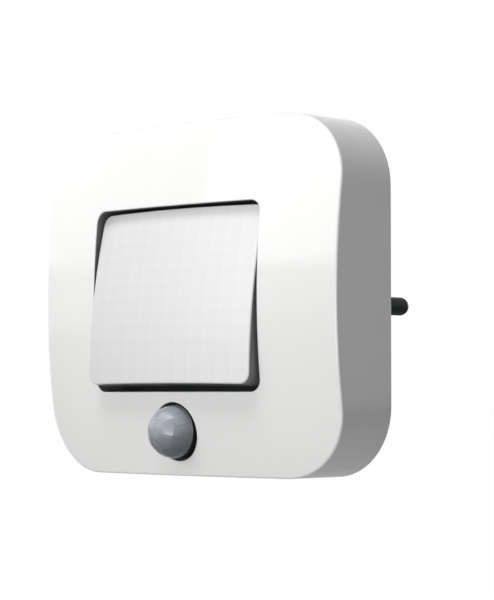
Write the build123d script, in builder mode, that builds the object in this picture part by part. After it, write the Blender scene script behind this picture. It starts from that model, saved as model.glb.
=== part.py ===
from build123d import *
import os
from math import cos, radians, sin, sqrt, tan

os.makedirs("parts", exist_ok=True)

# Plug-in night light: a domed front cover with a tilting light plate, a motion sensor below it, a rear
# housing and a two-pin plug. Millimetres, +Z up. The front faces -Y and the plug's pins point along +Y.
# The origin is the centre of the plug's face, midway between the pins. A length that ends in _front is
# the distance of a plane forward of that face.

# Plug
pin_radius = 2.4
pin_length = 19.0
pin_spacing = 19.0
pin_shoulder_radius = 2.6
pin_collar_radius = 3.5
pin_collar_height = 1.5
pin_tail_radius = 1.4
pin_tail_length = 5.0
plug_radius = 18.2
plug_depth = 17.0
plug_face_thickness = 4.0
plug_wall = 1.6
plug_edge_round = 1.2
groove_depth = 2.4
guide_groove_width = 5.4
clip_groove_width = 8.0
earth_hole_radius = 3.2
earth_hole_rise = 10.0
earth_hole_depth = 14.5
earth_tube_wall = 1.4
flange_width = 48.0
flange_corner = 6.0
flange_thickness = 2.0
flange_screw_inset = 4.5
retainer_thickness = 2.0
retainer_screw_spread = 5.2
retainer_screw_drop = 9.5
retainer_post_radius = 2.2

# Rear housing
box_flange_gap = 5.0
box_corner = 8.0
box_depth = 18.5
box_wall = 2.0
box_taper = 3.0
box_rear_wall = 3.5
box_edge_round = 1.5
backplate_thickness = 2.5

# Front cover
cover_corner = 17.0
cover_depth = 25.1
cover_side_bulge = 5.5
cover_top_bulge = 5.15
cover_wall = 2.0
cover_edge_round = 0.6
corner_boss_radius = 3.0
corner_boss_gap = 1.85
corner_boss_inset_x = 7.55
corner_boss_inset_z = 13.0

# Window in the cover, with the collar behind it that carries the rocker
window_width = 56.0
window_height = 45.2
window_corner = 3.0
window_round = 0.25
collar_wall = 1.6
board_boss_radius = 2.6
board_boss_gap = 1.25

# Rocker plate
rocker_side_gap = 0.66
rocker_end_gap = 1.17
rocker_corner = 2.6
rocker_side_bulge = 2.0
rocker_top_bulge = 1.4
rocker_proud = 0.9
rocker_plate_wall = 1.6
rocker_skirt_wall = 1.5
rocker_skirt_back = 1.5
rocker_edge_round = 0.4
rocker_tilt = 7.54
pivot_depth = 6.0
pivot_pin_radius = 1.0
pivot_pin_end = 0.6
pivot_boss_radius = 2.2
pivot_boss_length = 2.4
sheet_thickness = 0.8

# Fork on the rocker and the slide switch that it moves
fork_width = 3.4
fork_height = 4.8
fork_rise = 1.5
fork_reach = 5.4
fork_slot_depth = 2.0
switch_width = 2.7
switch_length = 6.7
switch_height = 1.4
switch_wall = 0.4
knob_width = 1.4
knob_length = 1.2
knob_height = 1.6
knob_foot_height = 0.5
knob_foot_length = 2.4
terminal_width = 0.6
terminal_length = 0.9
terminal_thickness = 0.2

# Motion sensor
sensor_hole_radius = 7.12
sensor_hole_gap = 2.54
sensor_to_edge = 10.74
sensor_hole_round = 0.3
lens_radius = 6.5
lens_neck_radius = 6.3
lens_proud = 0.23
lens_wall = 0.7
lens_flange_radius = 8.2
lens_flange_thickness = 1.0
lens_flange_depth = 5.7
sensor_ring_wall = 1.2
can_radius = 4.1
can_rim_radius = 4.6
can_rim_thickness = 0.5
can_height = 4.2
can_setback = 1.35
sensor_window_width = 4.6
sensor_window_height = 3.2
sensor_window_thickness = 0.3
lead_radius = 0.23
lead_circle_radius = 2.0
lead_end = 1.0
holder_radius = 8.0
holder_lead_bore_radius = 2.7

# Main board, with the LEDs in front of it and the control parts behind it
board_depth = 13.4
board_thickness = 1.6
board_corner = 2.0
board_side_margin = 1.1
board_top_margin = 1.3
board_sensor_margin = 6.2
led_margin_x = 8.5
led_margin_z = 9.6
led_columns = 4
led_rows = 3
led_width = 3.5
led_length = 2.8
led_height = 1.9
led_well_radius = 1.2
led_well_depth = 0.4
phosphor_depth = 0.1
reflector_thickness = 2.3
reflector_cup = 6.0
reflector_cup_taper = 12.0
daylight_sensor_inset = 3.35
daylight_sensor_size = 2.0
daylight_sensor_height = 0.8
chip_length = 2.0
chip_width = 1.25
resistor_height = 0.5
chip_capacitor_height = 1.2
chip_spacing = 4.2
chip_columns = 4
chip_rows = 2
chip_row_centre_x = 16.0
chip_row_centre_z = 6.0
chip_capacitor_centre_z = 14.0
controller_width = 4.9
controller_height = 3.9
controller_thickness = 1.5
controller_x = -14.0
controller_z = -4.0
controller_lead_pitch = 1.27
controller_lead_count = 4
controller_lead_width = 0.42
controller_lead_length = 1.0
controller_lead_thickness = 0.25

# Link between the boards
header_pitch = 2.54
header_ways = 4
header_width = 2.5
header_drop = 14.0
header_base_height = 2.5
header_pin_size = 0.64
header_pin_tail = 1.0
header_pin_engagement = 5.5
header_socket_gap = 0.4

# Power board and its parts
power_board_setback = 1.4
power_board_corner = 5.0
post_radius = 2.2
post_inset = 3.4
film_capacitor_width = 18.0
film_capacitor_length = 8.5
film_capacitor_height = 9.0
film_capacitor_z = 17.5
electrolytic_radius = 4.0
electrolytic_length = 14.0
electrolytic_x = -9.5
electrolytic_z = -18.0
electrolytic_groove = 0.35
inductor_radius = 4.0
inductor_height = 9.0
inductor_waist = 2.6
inductor_flange = 1.4
inductor_x = 14.0
inductor_z = -16.0
bridge_width = 8.2
bridge_length = 6.4
bridge_height = 3.2
bridge_x = -15.5
bridge_z = 5.0
fuse_radius = 1.8
fuse_length = 9.0
fuse_x = 21.0
fuse_z = 5.0
varistor_radius = 4.0
varistor_thickness = 3.5
varistor_x = -22.0
varistor_z = -8.0
wire_radius = 0.8
wire_bend_radius = 5.0
wire_pad_x = 13.0
wire_pad_z = -4.0
wire_first_run = 5.0
wire_last_run = 6.0

# Screws
large_screw_radius = 1.5
large_screw_length = 11.0
large_head_radius = 2.8
large_head_height = 1.4
small_screw_radius = 1.1
small_screw_length = 6.0
short_screw_length = 4.2
small_head_radius = 2.0
small_head_height = 1.3
recess_share = 0.62
recess_width = 0.55
recess_depth = 0.7

# Clearances
case_gap = 0.15
board_gap = 0.6
collar_gap = 0.3
screw_hole_gap = 0.25
pilot_gap = 0.04
press_gap = 0.03
running_gap = 0.05
slide_gap = 0.15
fork_gap = 0.3
sheet_gap = 0.3
reflector_gap = 0.3
flange_gap = 0.2
wall_overlap = 0.5

# Widths and heights, from the window outwards and from the plug's flange outwards
rocker_width = window_width - 2 * rocker_side_gap
rocker_height = window_height - 2 * rocker_end_gap
collar_outer_x = window_width / 2 + collar_wall
board_boss_x = collar_outer_x + board_boss_gap + board_boss_radius
board_width = 2 * (board_boss_x + board_boss_radius + board_side_margin)
corner_boss_x = board_width / 2 + corner_boss_gap + corner_boss_radius
cover_width = 2 * (corner_boss_x + corner_boss_inset_x)
sensor_drop = window_height / 2 + sensor_hole_gap + sensor_hole_radius
cover_height = 2 * (sensor_drop + sensor_to_edge)
board_top = window_height / 2 + collar_wall + board_top_margin
board_bottom = -sensor_drop - board_sensor_margin
led_pitch_x = (window_width - 2 * led_margin_x) / (led_columns - 1)
led_pitch_z = (window_height - 2 * led_margin_z) / (led_rows - 1)
box_inner_width = flange_width + 2 * box_flange_gap
box_width = box_inner_width + 2 * box_wall

# Planes along the depth, forward of the plug's face
flange_rear_front = plug_depth + box_rear_wall
flange_top_front = flange_rear_front + flange_thickness
back_front = plug_depth + box_depth
backplate_front = back_front + backplate_thickness
crown_front = back_front + cover_depth
pivot_front = crown_front - pivot_depth
board_front = crown_front - board_depth
board_rear_front = board_front - board_thickness
power_board_front = backplate_front - backplate_thickness - power_board_setback
power_board_rear_front = power_board_front - board_thickness
collar_end_front = board_front + collar_gap
pin_collar_front = plug_face_thickness + pin_collar_height
retainer_front = pin_collar_front + retainer_thickness
tail_end_front = pin_collar_front + pin_tail_length


def arc_radius(half_chord, bulge):
    return (half_chord**2 + bulge**2) / (2 * bulge)


# The cover's front is a barrel: an upright arc turned about an upright axis far behind the cover.
cover_upright_radius = arc_radius(cover_height / 2, cover_top_bulge)
cover_level_radius = arc_radius(cover_width / 2, cover_side_bulge)
rocker_upright_radius = arc_radius(rocker_height / 2, rocker_top_bulge)
rocker_level_radius = arc_radius(rocker_width / 2, rocker_side_bulge)

# The rocker's plane lies on its pivot, with local x along X, local y up the plate and local z forward.
tilt = radians(rocker_tilt)
rocker_plane = Plane(
    origin=(0, -pivot_front, 0), x_dir=(1, 0, 0), z_dir=(0, -cos(tilt), sin(tilt))
)
rocker_crown = pivot_depth + rocker_proud
skirt_inner_x = rocker_width / 2 - rocker_skirt_wall
knob_arm = pivot_front - board_front - switch_height - knob_height / 2
knob_rest_z = -knob_arm * sin(tilt)
knob_travel = 2 * knob_arm * sin(tilt)
fork_outer_x = skirt_inner_x - press_gap
switch_x = fork_outer_x - fork_width / 2


def at(front):
    return Plane.XZ.offset(front)


def cover_front_at(x, z):
    turn_radius = cover_level_radius - cover_upright_radius + sqrt(cover_upright_radius**2 - z**2)
    return crown_front - cover_level_radius + sqrt(turn_radius**2 - x**2)


# A block with a rounded rectangle for its outline, a flat rear and a barrel-shaped front whose crown is
# `crown` forward of the plane. The inset moves the front back along its own normals.
def domed_block(plane, width, height, corner, rear, crown, upright_radius, level_radius, inset=0.0):
    arc = upright_radius - inset
    half = height / 2 + wall_overlap
    edge = crown - upright_radius + sqrt(arc**2 - half**2)
    axis_depth = crown - level_radius
    section = Plane(origin=plane.origin, x_dir=plane.y_dir, z_dir=plane.x_dir)
    with BuildPart() as block:
        with BuildSketch(plane.offset(rear)):
            RectangleRounded(width, height, corner)
        extrude(amount=crown - rear)
        with BuildSketch(section):
            with BuildLine():
                ThreePointArc((-half, edge), (0, crown - inset), (half, edge))
                Polyline((half, edge), (half, axis_depth), (-half, axis_depth), (-half, edge))
            make_face()
        turn_axis = Axis(plane.origin + plane.z_dir * axis_depth, plane.y_dir)
        revolve(axis=turn_axis, mode=Mode.INTERSECT)
    return block.part


def cover_block(width, height, corner, rear, inset):
    return domed_block(
        Plane.XZ, width, height, corner, rear, crown_front, cover_upright_radius, cover_level_radius, inset
    )


def rocker_block(side, corner, rear, inset):
    return domed_block(
        rocker_plane,
        rocker_width - 2 * side,
        rocker_height - 2 * side,
        corner,
        rear,
        rocker_crown,
        rocker_upright_radius,
        rocker_level_radius,
        inset,
    )


# Pan-head screws: each seat is a plane under the head, with its normal pointing out of the head.
def screw_group(seats, radius, length, head_radius, head_height):
    with BuildPart() as group:
        for seat in seats:
            with BuildSketch(seat):
                Circle(head_radius)
            extrude(amount=head_height)
            with BuildSketch(seat):
                Circle(radius)
            extrude(amount=-length)
            with BuildSketch(seat.offset(head_height)):
                Rectangle(2 * head_radius * recess_share, recess_width)
                Rectangle(recess_width, 2 * head_radius * recess_share)
            extrude(amount=-recess_depth, mode=Mode.SUBTRACT)
    return group.part


def seats_facing_rear(points, front):
    return [Plane(origin=(x, -front, z), x_dir=(1, 0, 0), z_dir=(0, 1, 0)) for x, z in points]


def seats_facing_front(points, front):
    return [Plane(origin=(x, -front, z), x_dir=(1, 0, 0), z_dir=(0, -1, 0)) for x, z in points]


def corners(x, z):
    return [(x, z), (-x, z), (-x, -z), (x, -z)]


corner_boss_points = corners(corner_boss_x, cover_height / 2 - corner_boss_inset_z)
board_boss_points = corners(board_boss_x, window_height / 2 - board_boss_radius)
power_board_taper = (backplate_front - power_board_rear_front) * tan(radians(box_taper))
power_board_width = box_inner_width - 2 * (board_gap + power_board_taper)
post_points = corners(power_board_width / 2 - post_inset, power_board_width / 2 - post_inset)
flange_screw_points = corners(
    flange_width / 2 - flange_screw_inset, flange_width / 2 - flange_screw_inset
)
retainer_screw_points = [
    (retainer_screw_spread, -retainer_screw_drop),
    (-retainer_screw_spread, -retainer_screw_drop),
]
sensor_wall_front = cover_front_at(0, sensor_drop)
lens_centre_front = sensor_wall_front + lens_proud
flange_seat_front = crown_front - lens_flange_depth
flange_back_front = flange_seat_front - lens_flange_thickness

# Front cover: a domed shell with the window and its collar, the sensor hole and its seat, and bosses.
cover_outer = cover_block(cover_width, cover_height, cover_corner, back_front, 0)
cover_middle = cover_block(cover_width, cover_height, cover_corner, back_front, cover_wall / 2)
cover_core = cover_block(
    cover_width - 2 * cover_wall,
    cover_height - 2 * cover_wall,
    cover_corner - cover_wall,
    back_front,
    cover_wall,
)
with BuildPart() as cover_fittings:
    with BuildSketch(at(collar_end_front)):
        RectangleRounded(
            window_width + 2 * collar_wall, window_height + 2 * collar_wall, window_corner + collar_wall
        )
    extrude(amount=cover_depth)
    with BuildSketch(at(backplate_front)):
        with Locations(*corner_boss_points):
            Circle(corner_boss_radius)
    extrude(amount=cover_depth)
    with BuildSketch(at(board_front)):
        with Locations(*board_boss_points):
            Circle(board_boss_radius)
    extrude(amount=cover_depth)
    with BuildSketch(at(flange_back_front)):
        with Locations((0, -sensor_drop)):
            Circle(lens_flange_radius + flange_gap + sensor_ring_wall)
    extrude(amount=cover_depth)
    add(cover_middle, mode=Mode.INTERSECT)

with BuildPart() as front_cover:
    add(cover_outer)
    fillet(front_cover.faces().sort_by(Axis.Y)[0].edges(), cover_edge_round)
    add(cover_core, mode=Mode.SUBTRACT)
    add(cover_fittings.part)
    with BuildSketch(at(back_front)):
        RectangleRounded(window_width, window_height, window_corner)
    extrude(amount=cover_depth + wall_overlap, mode=Mode.SUBTRACT)
    window_rim = front_cover.edges().filter_by(
        lambda e: abs(e.center().X) <= window_width / 2 + wall_overlap
        and abs(e.center().Z) <= window_height / 2 + wall_overlap
        and abs(-e.center().Y - cover_front_at(e.center().X, e.center().Z)) < cover_wall / 4
    )
    fillet(window_rim, window_round)
    with BuildSketch(at(back_front)):
        with Locations((0, -sensor_drop)):
            Circle(sensor_hole_radius)
    extrude(amount=cover_depth + wall_overlap, mode=Mode.SUBTRACT)
    sensor_rim = front_cover.edges(Select.LAST).sort_by(Axis.Y)[0]
    fillet(sensor_rim, sensor_hole_round)
    with BuildSketch(at(back_front)):
        with Locations((0, -sensor_drop)):
            Circle(lens_flange_radius + flange_gap)
    extrude(amount=flange_seat_front - back_front, mode=Mode.SUBTRACT)
    with BuildSketch(at(backplate_front)):
        with Locations(*corner_boss_points):
            Circle(large_screw_radius + pilot_gap)
    extrude(amount=large_screw_length, mode=Mode.SUBTRACT)
    with BuildSketch(at(board_front)):
        with Locations(*board_boss_points):
            Circle(small_screw_radius + pilot_gap)
    extrude(amount=small_screw_length - board_thickness + pilot_gap, mode=Mode.SUBTRACT)
    with BuildSketch(Plane.YZ.offset(-collar_outer_x - pilot_gap)):
        with Locations((-pivot_front, 0)):
            Circle(pivot_pin_radius + running_gap)
    extrude(amount=2 * (collar_outer_x + pilot_gap), mode=Mode.SUBTRACT)
front_cover.part.label = "front_cover"
export_step(front_cover.part, "parts/front_cover.step")

# Rear housing: the plate that closes the cover, with the box behind it that holds the power board.
with BuildPart() as rear_housing:
    with BuildSketch(at(back_front)):
        RectangleRounded(
            cover_width - 2 * (cover_wall + case_gap),
            cover_height - 2 * (cover_wall + case_gap),
            cover_corner - cover_wall - case_gap,
        )
    extrude(amount=backplate_thickness)
    with BuildSketch(at(back_front)):
        RectangleRounded(box_width, box_width, box_corner)
    extrude(amount=-box_depth, taper=box_taper)
    fillet(rear_housing.faces().sort_by(Axis.Y)[-1].edges(), box_edge_round)
    with BuildSketch(at(backplate_front)):
        RectangleRounded(box_inner_width, box_inner_width, box_corner - box_wall)
    extrude(amount=-(backplate_front - flange_rear_front), taper=box_taper, mode=Mode.SUBTRACT)
    with BuildSketch(at(flange_rear_front)):
        with Locations(*post_points):
            Circle(post_radius)
    extrude(amount=power_board_rear_front - flange_rear_front)
    with BuildSketch(at(plug_depth - wall_overlap)):
        Circle(plug_radius + case_gap)
    extrude(amount=box_rear_wall + 2 * wall_overlap, mode=Mode.SUBTRACT)
    with BuildSketch(at(power_board_rear_front)):
        with Locations(*post_points):
            Circle(small_screw_radius + pilot_gap)
    extrude(amount=-(small_screw_length - board_thickness + pilot_gap), mode=Mode.SUBTRACT)
    with BuildSketch(at(flange_rear_front)):
        with Locations(*flange_screw_points):
            Circle(small_screw_radius + pilot_gap)
    extrude(amount=-(short_screw_length - flange_thickness + pilot_gap), mode=Mode.SUBTRACT)
    with BuildSketch(at(back_front)):
        with Locations(*corner_boss_points):
            Circle(large_screw_radius + screw_hole_gap)
    extrude(amount=backplate_thickness, mode=Mode.SUBTRACT)
    with BuildSketch(at(back_front)):
        with Locations(*corner_boss_points):
            Circle(large_head_radius + screw_hole_gap)
    extrude(amount=large_head_height, mode=Mode.SUBTRACT)
rear_housing.part.label = "rear_housing"
export_step(rear_housing.part, "parts/rear_housing.step")

# Plug body: a contour plug with guide grooves at its sides, clip grooves above and below, and a blind
# hole for the socket's earth pin. It is pushed out through the rear wall and held there by its flange.
cavity_radius = plug_radius - groove_depth - plug_wall
groove_centre = plug_radius - groove_depth / 2
earth_tube_radius = earth_hole_radius + earth_tube_wall
pin_points = [(pin_spacing / 2, 0), (-pin_spacing / 2, 0)]
with BuildPart() as plug_body:
    with BuildSketch(Plane.XZ):
        Circle(plug_radius)
    extrude(amount=flange_rear_front)
    fillet(plug_body.faces().sort_by(Axis.Y)[-1].edges(), plug_edge_round)
    with BuildSketch(Plane.XZ):
        with Locations((groove_centre, 0), (-groove_centre, 0)):
            Rectangle(groove_depth, guide_groove_width)
        with Locations((0, groove_centre), (0, -groove_centre)):
            Rectangle(clip_groove_width, groove_depth)
    extrude(amount=plug_depth, mode=Mode.SUBTRACT)
    with BuildSketch(at(flange_rear_front)):
        RectangleRounded(flange_width, flange_width, flange_corner)
    extrude(amount=flange_thickness)
    with BuildSketch(at(plug_face_thickness)):
        Circle(cavity_radius)
        with Locations((0, earth_hole_rise)):
            Circle(earth_tube_radius, mode=Mode.SUBTRACT)
        with Locations(*retainer_screw_points):
            Circle(retainer_post_radius, mode=Mode.SUBTRACT)
    extrude(amount=flange_top_front, mode=Mode.SUBTRACT)
    with BuildSketch(at(pin_collar_front)):
        with Locations(*retainer_screw_points):
            Circle(retainer_post_radius + case_gap)
    extrude(amount=flange_top_front, mode=Mode.SUBTRACT)
    with BuildSketch(Plane.XZ):
        with Locations((0, earth_hole_rise)):
            Circle(earth_hole_radius)
    extrude(amount=earth_hole_depth, mode=Mode.SUBTRACT)
    with BuildSketch(at(earth_hole_depth + earth_tube_wall)):
        Circle(cavity_radius)
    extrude(amount=flange_top_front, mode=Mode.SUBTRACT)
    with BuildSketch(Plane.XZ):
        with Locations(*pin_points):
            Circle(pin_shoulder_radius + press_gap)
    extrude(amount=plug_face_thickness, mode=Mode.SUBTRACT)
    with BuildSketch(at(pin_collar_front)):
        with Locations(*retainer_screw_points):
            Circle(small_screw_radius + pilot_gap)
    extrude(amount=-(short_screw_length - retainer_thickness + pilot_gap), mode=Mode.SUBTRACT)
    with BuildSketch(at(flange_rear_front)):
        with Locations(*flange_screw_points):
            Circle(small_screw_radius + screw_hole_gap)
    extrude(amount=flange_thickness, mode=Mode.SUBTRACT)
plug_body.part.label = "plug_body"
export_step(plug_body.part, "parts/plug_body.step")

# Pin retainer: the plate inside the plug that holds the pins' collars down.
with BuildPart() as pin_retainer:
    with BuildSketch(at(pin_collar_front)):
        Circle(cavity_radius - case_gap)
        with Locations((0, earth_hole_rise)):
            Circle(earth_tube_radius + case_gap, mode=Mode.SUBTRACT)
        with Locations(*pin_points):
            Circle(pin_tail_radius + case_gap, mode=Mode.SUBTRACT)
        with Locations(*retainer_screw_points):
            Circle(small_screw_radius + screw_hole_gap, mode=Mode.SUBTRACT)
        with Locations((0, cavity_radius)):
            Rectangle(
                2 * (earth_tube_radius + case_gap), 2 * (cavity_radius - earth_hole_rise), mode=Mode.SUBTRACT
            )
    extrude(amount=retainer_thickness)
pin_retainer.part.label = "pin_retainer"
export_step(pin_retainer.part, "parts/pin_retainer.step")


# Plug pin: a round-ended pin with a shoulder in the plug's face, a collar inside it and a solder tail.
def plug_pin(x):
    with BuildPart() as pin:
        with BuildSketch(at(plug_face_thickness)):
            with Locations((x, 0)):
                Circle(pin_shoulder_radius)
        extrude(amount=-plug_face_thickness)
        with BuildSketch(Plane.XZ):
            with Locations((x, 0)):
                Circle(pin_radius)
        extrude(amount=-(pin_length - pin_radius))
        with Locations((x, pin_length - pin_radius, 0)):
            Sphere(pin_radius)
        with BuildSketch(at(plug_face_thickness)):
            with Locations((x, 0)):
                Circle(pin_collar_radius)
        extrude(amount=pin_collar_height)
        with BuildSketch(at(pin_collar_front)):
            with Locations((x, 0)):
                Circle(pin_tail_radius)
        extrude(amount=pin_tail_length)
    return pin.part


line_pin = plug_pin(pin_spacing / 2)
with BuildPart() as plug_pin_line:
    add(line_pin)
plug_pin_line.part.label = "plug_pin_line"
export_step(plug_pin_line.part, "parts/plug_pin_line.step")

neutral_pin = plug_pin(-pin_spacing / 2)
with BuildPart() as plug_pin_neutral:
    add(neutral_pin)
plug_pin_neutral.part.label = "plug_pin_neutral"
export_step(plug_pin_neutral.part, "parts/plug_pin_neutral.step")

# Rocker lens: the domed opal plate with a skirt on its four sides and a boss for the left pivot pin.
rocker_outer = rocker_block(0, rocker_corner, -rocker_skirt_back, 0)
rocker_core = rocker_block(
    rocker_skirt_wall, rocker_corner - rocker_skirt_wall, -rocker_skirt_back, rocker_plate_wall
)
pivot_section = Plane(
    origin=rocker_plane.origin, x_dir=rocker_plane.y_dir, z_dir=rocker_plane.x_dir
)
with BuildPart() as rocker_lens:
    add(rocker_outer)
    plate_face = rocker_lens.faces().filter_by(
        lambda f: f.normal_at(f.center()).dot(rocker_plane.z_dir) > cos(tilt)
    )
    fillet(plate_face.sort_by(Axis.Y)[0].edges(), rocker_edge_round)
    add(rocker_core, mode=Mode.SUBTRACT)
    with BuildSketch(pivot_section.offset(-skirt_inner_x - wall_overlap)):
        Circle(pivot_boss_radius)
    extrude(amount=pivot_boss_length + wall_overlap)
    with BuildSketch(pivot_section.offset(-rocker_width / 2 - wall_overlap)):
        Circle(pivot_pin_radius + press_gap)
    extrude(amount=rocker_width + 2 * wall_overlap, mode=Mode.SUBTRACT)
rocker_lens.part.label = "rocker_lens"
export_step(rocker_lens.part, "parts/rocker_lens.step")

# Diffuser sheet: it lies behind the plate and follows its curve.
sheet_side = rocker_skirt_wall + sheet_gap
sheet_front_inset = rocker_plate_wall + sheet_gap
sheet_corner = rocker_corner - rocker_skirt_wall
sheet_outer = rocker_block(sheet_side, sheet_corner, -rocker_skirt_back, sheet_front_inset)
sheet_core = rocker_block(
    sheet_side - wall_overlap,
    rocker_corner,
    -rocker_skirt_back,
    sheet_front_inset + sheet_thickness,
)
with BuildPart() as diffuser_sheet:
    add(sheet_outer)
    add(sheet_core, mode=Mode.SUBTRACT)
diffuser_sheet.part.label = "diffuser_sheet"
export_step(diffuser_sheet.part, "parts/diffuser_sheet.step")

# Rocker fork: it hangs inside the right skirt on the pivot pin and straddles the switch's knob.
fork_slot = knob_length + 2 * fork_gap
with BuildPart() as rocker_fork:
    with BuildSketch(pivot_section.offset(fork_outer_x - fork_width)):
        with Locations((0, (fork_rise - fork_reach) / 2)):
            Rectangle(fork_height, fork_rise + fork_reach)
        with Locations((0, fork_slot_depth / 2 - fork_reach)):
            Rectangle(fork_slot, fork_slot_depth, mode=Mode.SUBTRACT)
        Circle(pivot_pin_radius + press_gap, mode=Mode.SUBTRACT)
    extrude(amount=fork_width)
rocker_fork.part.label = "rocker_fork"
export_step(rocker_fork.part, "parts/rocker_fork.step")

# Pivot pins: steel pins pressed into the rocker, turning in the collar of the window.
pivot_pin_inner_x = skirt_inner_x - pivot_boss_length
pivot_pin_outer_x = collar_outer_x + pivot_pin_end
with BuildPart() as pivot_pin_right:
    with BuildSketch(pivot_section.offset(pivot_pin_inner_x)):
        Circle(pivot_pin_radius)
    extrude(amount=pivot_pin_outer_x - pivot_pin_inner_x)
pivot_pin_right.part.label = "pivot_pin_right"
export_step(pivot_pin_right.part, "parts/pivot_pin_right.step")

with BuildPart() as pivot_pin_left:
    with BuildSketch(pivot_section.offset(-pivot_pin_outer_x)):
        Circle(pivot_pin_radius)
    extrude(amount=pivot_pin_outer_x - pivot_pin_inner_x)
pivot_pin_left.part.label = "pivot_pin_left"
export_step(pivot_pin_left.part, "parts/pivot_pin_left.step")

# Motion sensor: a domed lens with a flange, a holder on the board, and the metal can with its window.
lens_centre = (0, -lens_centre_front, -sensor_drop)
facing_front = (90, 0, 0)
on_its_rim = (Align.CENTER, Align.CENTER, Align.MIN)
with BuildPart() as sensor_lens:
    with BuildSketch(at(flange_back_front)):
        with Locations((0, -sensor_drop)):
            Circle(lens_flange_radius)
    extrude(amount=lens_flange_thickness)
    with BuildSketch(at(flange_back_front)):
        with Locations((0, -sensor_drop)):
            Circle(lens_neck_radius)
    extrude(amount=lens_centre_front - flange_back_front)
    with Locations(lens_centre):
        Sphere(lens_radius, arc_size1=0, rotation=facing_front, align=on_its_rim)
    with Locations(lens_centre):
        Sphere(
            lens_radius - lens_wall,
            arc_size1=0,
            rotation=facing_front,
            align=on_its_rim,
            mode=Mode.SUBTRACT,
        )
    with BuildSketch(at(flange_back_front)):
        with Locations((0, -sensor_drop)):
            Circle(lens_neck_radius - lens_wall)
    extrude(amount=lens_centre_front - flange_back_front, mode=Mode.SUBTRACT)
sensor_lens.part.label = "sensor_lens"
export_step(sensor_lens.part, "parts/sensor_lens.step")

can_top_front = lens_centre_front - can_setback
can_base_front = can_top_front - can_height
with BuildPart() as sensor_can:
    with BuildSketch(at(can_base_front)):
        with Locations((0, -sensor_drop)):
            Circle(can_rim_radius)
    extrude(amount=can_rim_thickness)
    with BuildSketch(at(can_base_front)):
        with Locations((0, -sensor_drop)):
            Circle(can_radius)
    extrude(amount=can_height)
    fillet(sensor_can.faces().sort_by(Axis.Y)[0].edges(), can_rim_thickness)
    with BuildSketch(at(can_top_front)):
        with Locations((0, -sensor_drop)):
            Rectangle(sensor_window_width, sensor_window_height)
    extrude(amount=-sensor_window_thickness, mode=Mode.SUBTRACT)
sensor_can.part.label = "sensor_can"
export_step(sensor_can.part, "parts/sensor_can.step")

with BuildPart() as sensor_window:
    with BuildSketch(at(can_top_front)):
        with Locations((0, -sensor_drop)):
            Rectangle(sensor_window_width - 2 * press_gap, sensor_window_height - 2 * press_gap)
    extrude(amount=-sensor_window_thickness)
sensor_window.part.label = "sensor_window"
export_step(sensor_window.part, "parts/sensor_window.step")

sensor_lead_count = 3
with BuildPart() as sensor_leads:
    with BuildSketch(at(can_base_front)):
        with Locations((0, -sensor_drop)):
            with PolarLocations(lead_circle_radius, sensor_lead_count):
                Circle(lead_radius)
    extrude(amount=-(can_base_front - board_rear_front + lead_end))
sensor_leads.part.label = "sensor_leads"
export_step(sensor_leads.part, "parts/sensor_leads.step")

with BuildPart() as sensor_holder:
    with BuildSketch(at(board_front)):
        with Locations((0, -sensor_drop)):
            Circle(holder_radius)
            Circle(holder_lead_bore_radius, mode=Mode.SUBTRACT)
    extrude(amount=flange_back_front - board_front)
    with BuildSketch(at(can_base_front)):
        with Locations((0, -sensor_drop)):
            Circle(can_rim_radius + case_gap)
    extrude(amount=flange_back_front - can_base_front, mode=Mode.SUBTRACT)
sensor_holder.part.label = "sensor_holder"
export_step(sensor_holder.part, "parts/sensor_holder.step")

# Main board: it is screwed to the cover's bosses behind the window and reaches down past the sensor.
header_z = -header_drop
header_pin_points = [
    (header_pitch * (way - (header_ways - 1) / 2), header_z) for way in range(header_ways)
]
with BuildPart() as main_board:
    with BuildSketch(at(board_rear_front)):
        with Locations((0, (board_top + board_bottom) / 2)):
            RectangleRounded(board_width, board_top - board_bottom, board_corner)
        with Locations(*board_boss_points):
            Circle(small_screw_radius + screw_hole_gap, mode=Mode.SUBTRACT)
        with Locations((0, -sensor_drop)):
            with PolarLocations(lead_circle_radius, sensor_lead_count):
                Circle(lead_radius + press_gap, mode=Mode.SUBTRACT)
    extrude(amount=board_thickness)
main_board.part.label = "main_board"
export_step(main_board.part, "parts/main_board.step")

# LEDs: a grid of packages, each with a round well that holds its phosphor.
led_front = board_front + led_height
with BuildPart() as led_packages:
    with BuildSketch(at(board_front)):
        with GridLocations(led_pitch_x, led_pitch_z, led_columns, led_rows):
            Rectangle(led_width, led_length)
    extrude(amount=led_height)
    with BuildSketch(at(led_front)):
        with GridLocations(led_pitch_x, led_pitch_z, led_columns, led_rows):
            Circle(led_well_radius)
    extrude(amount=-led_well_depth, mode=Mode.SUBTRACT)
led_packages.part.label = "led_packages"
export_step(led_packages.part, "parts/led_packages.step")

with BuildPart() as led_phosphors:
    with BuildSketch(at(led_front - led_well_depth)):
        with GridLocations(led_pitch_x, led_pitch_z, led_columns, led_rows):
            Circle(led_well_radius - press_gap)
    extrude(amount=led_well_depth - phosphor_depth)
led_phosphors.part.label = "led_phosphors"
export_step(led_phosphors.part, "parts/led_phosphors.step")

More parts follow.
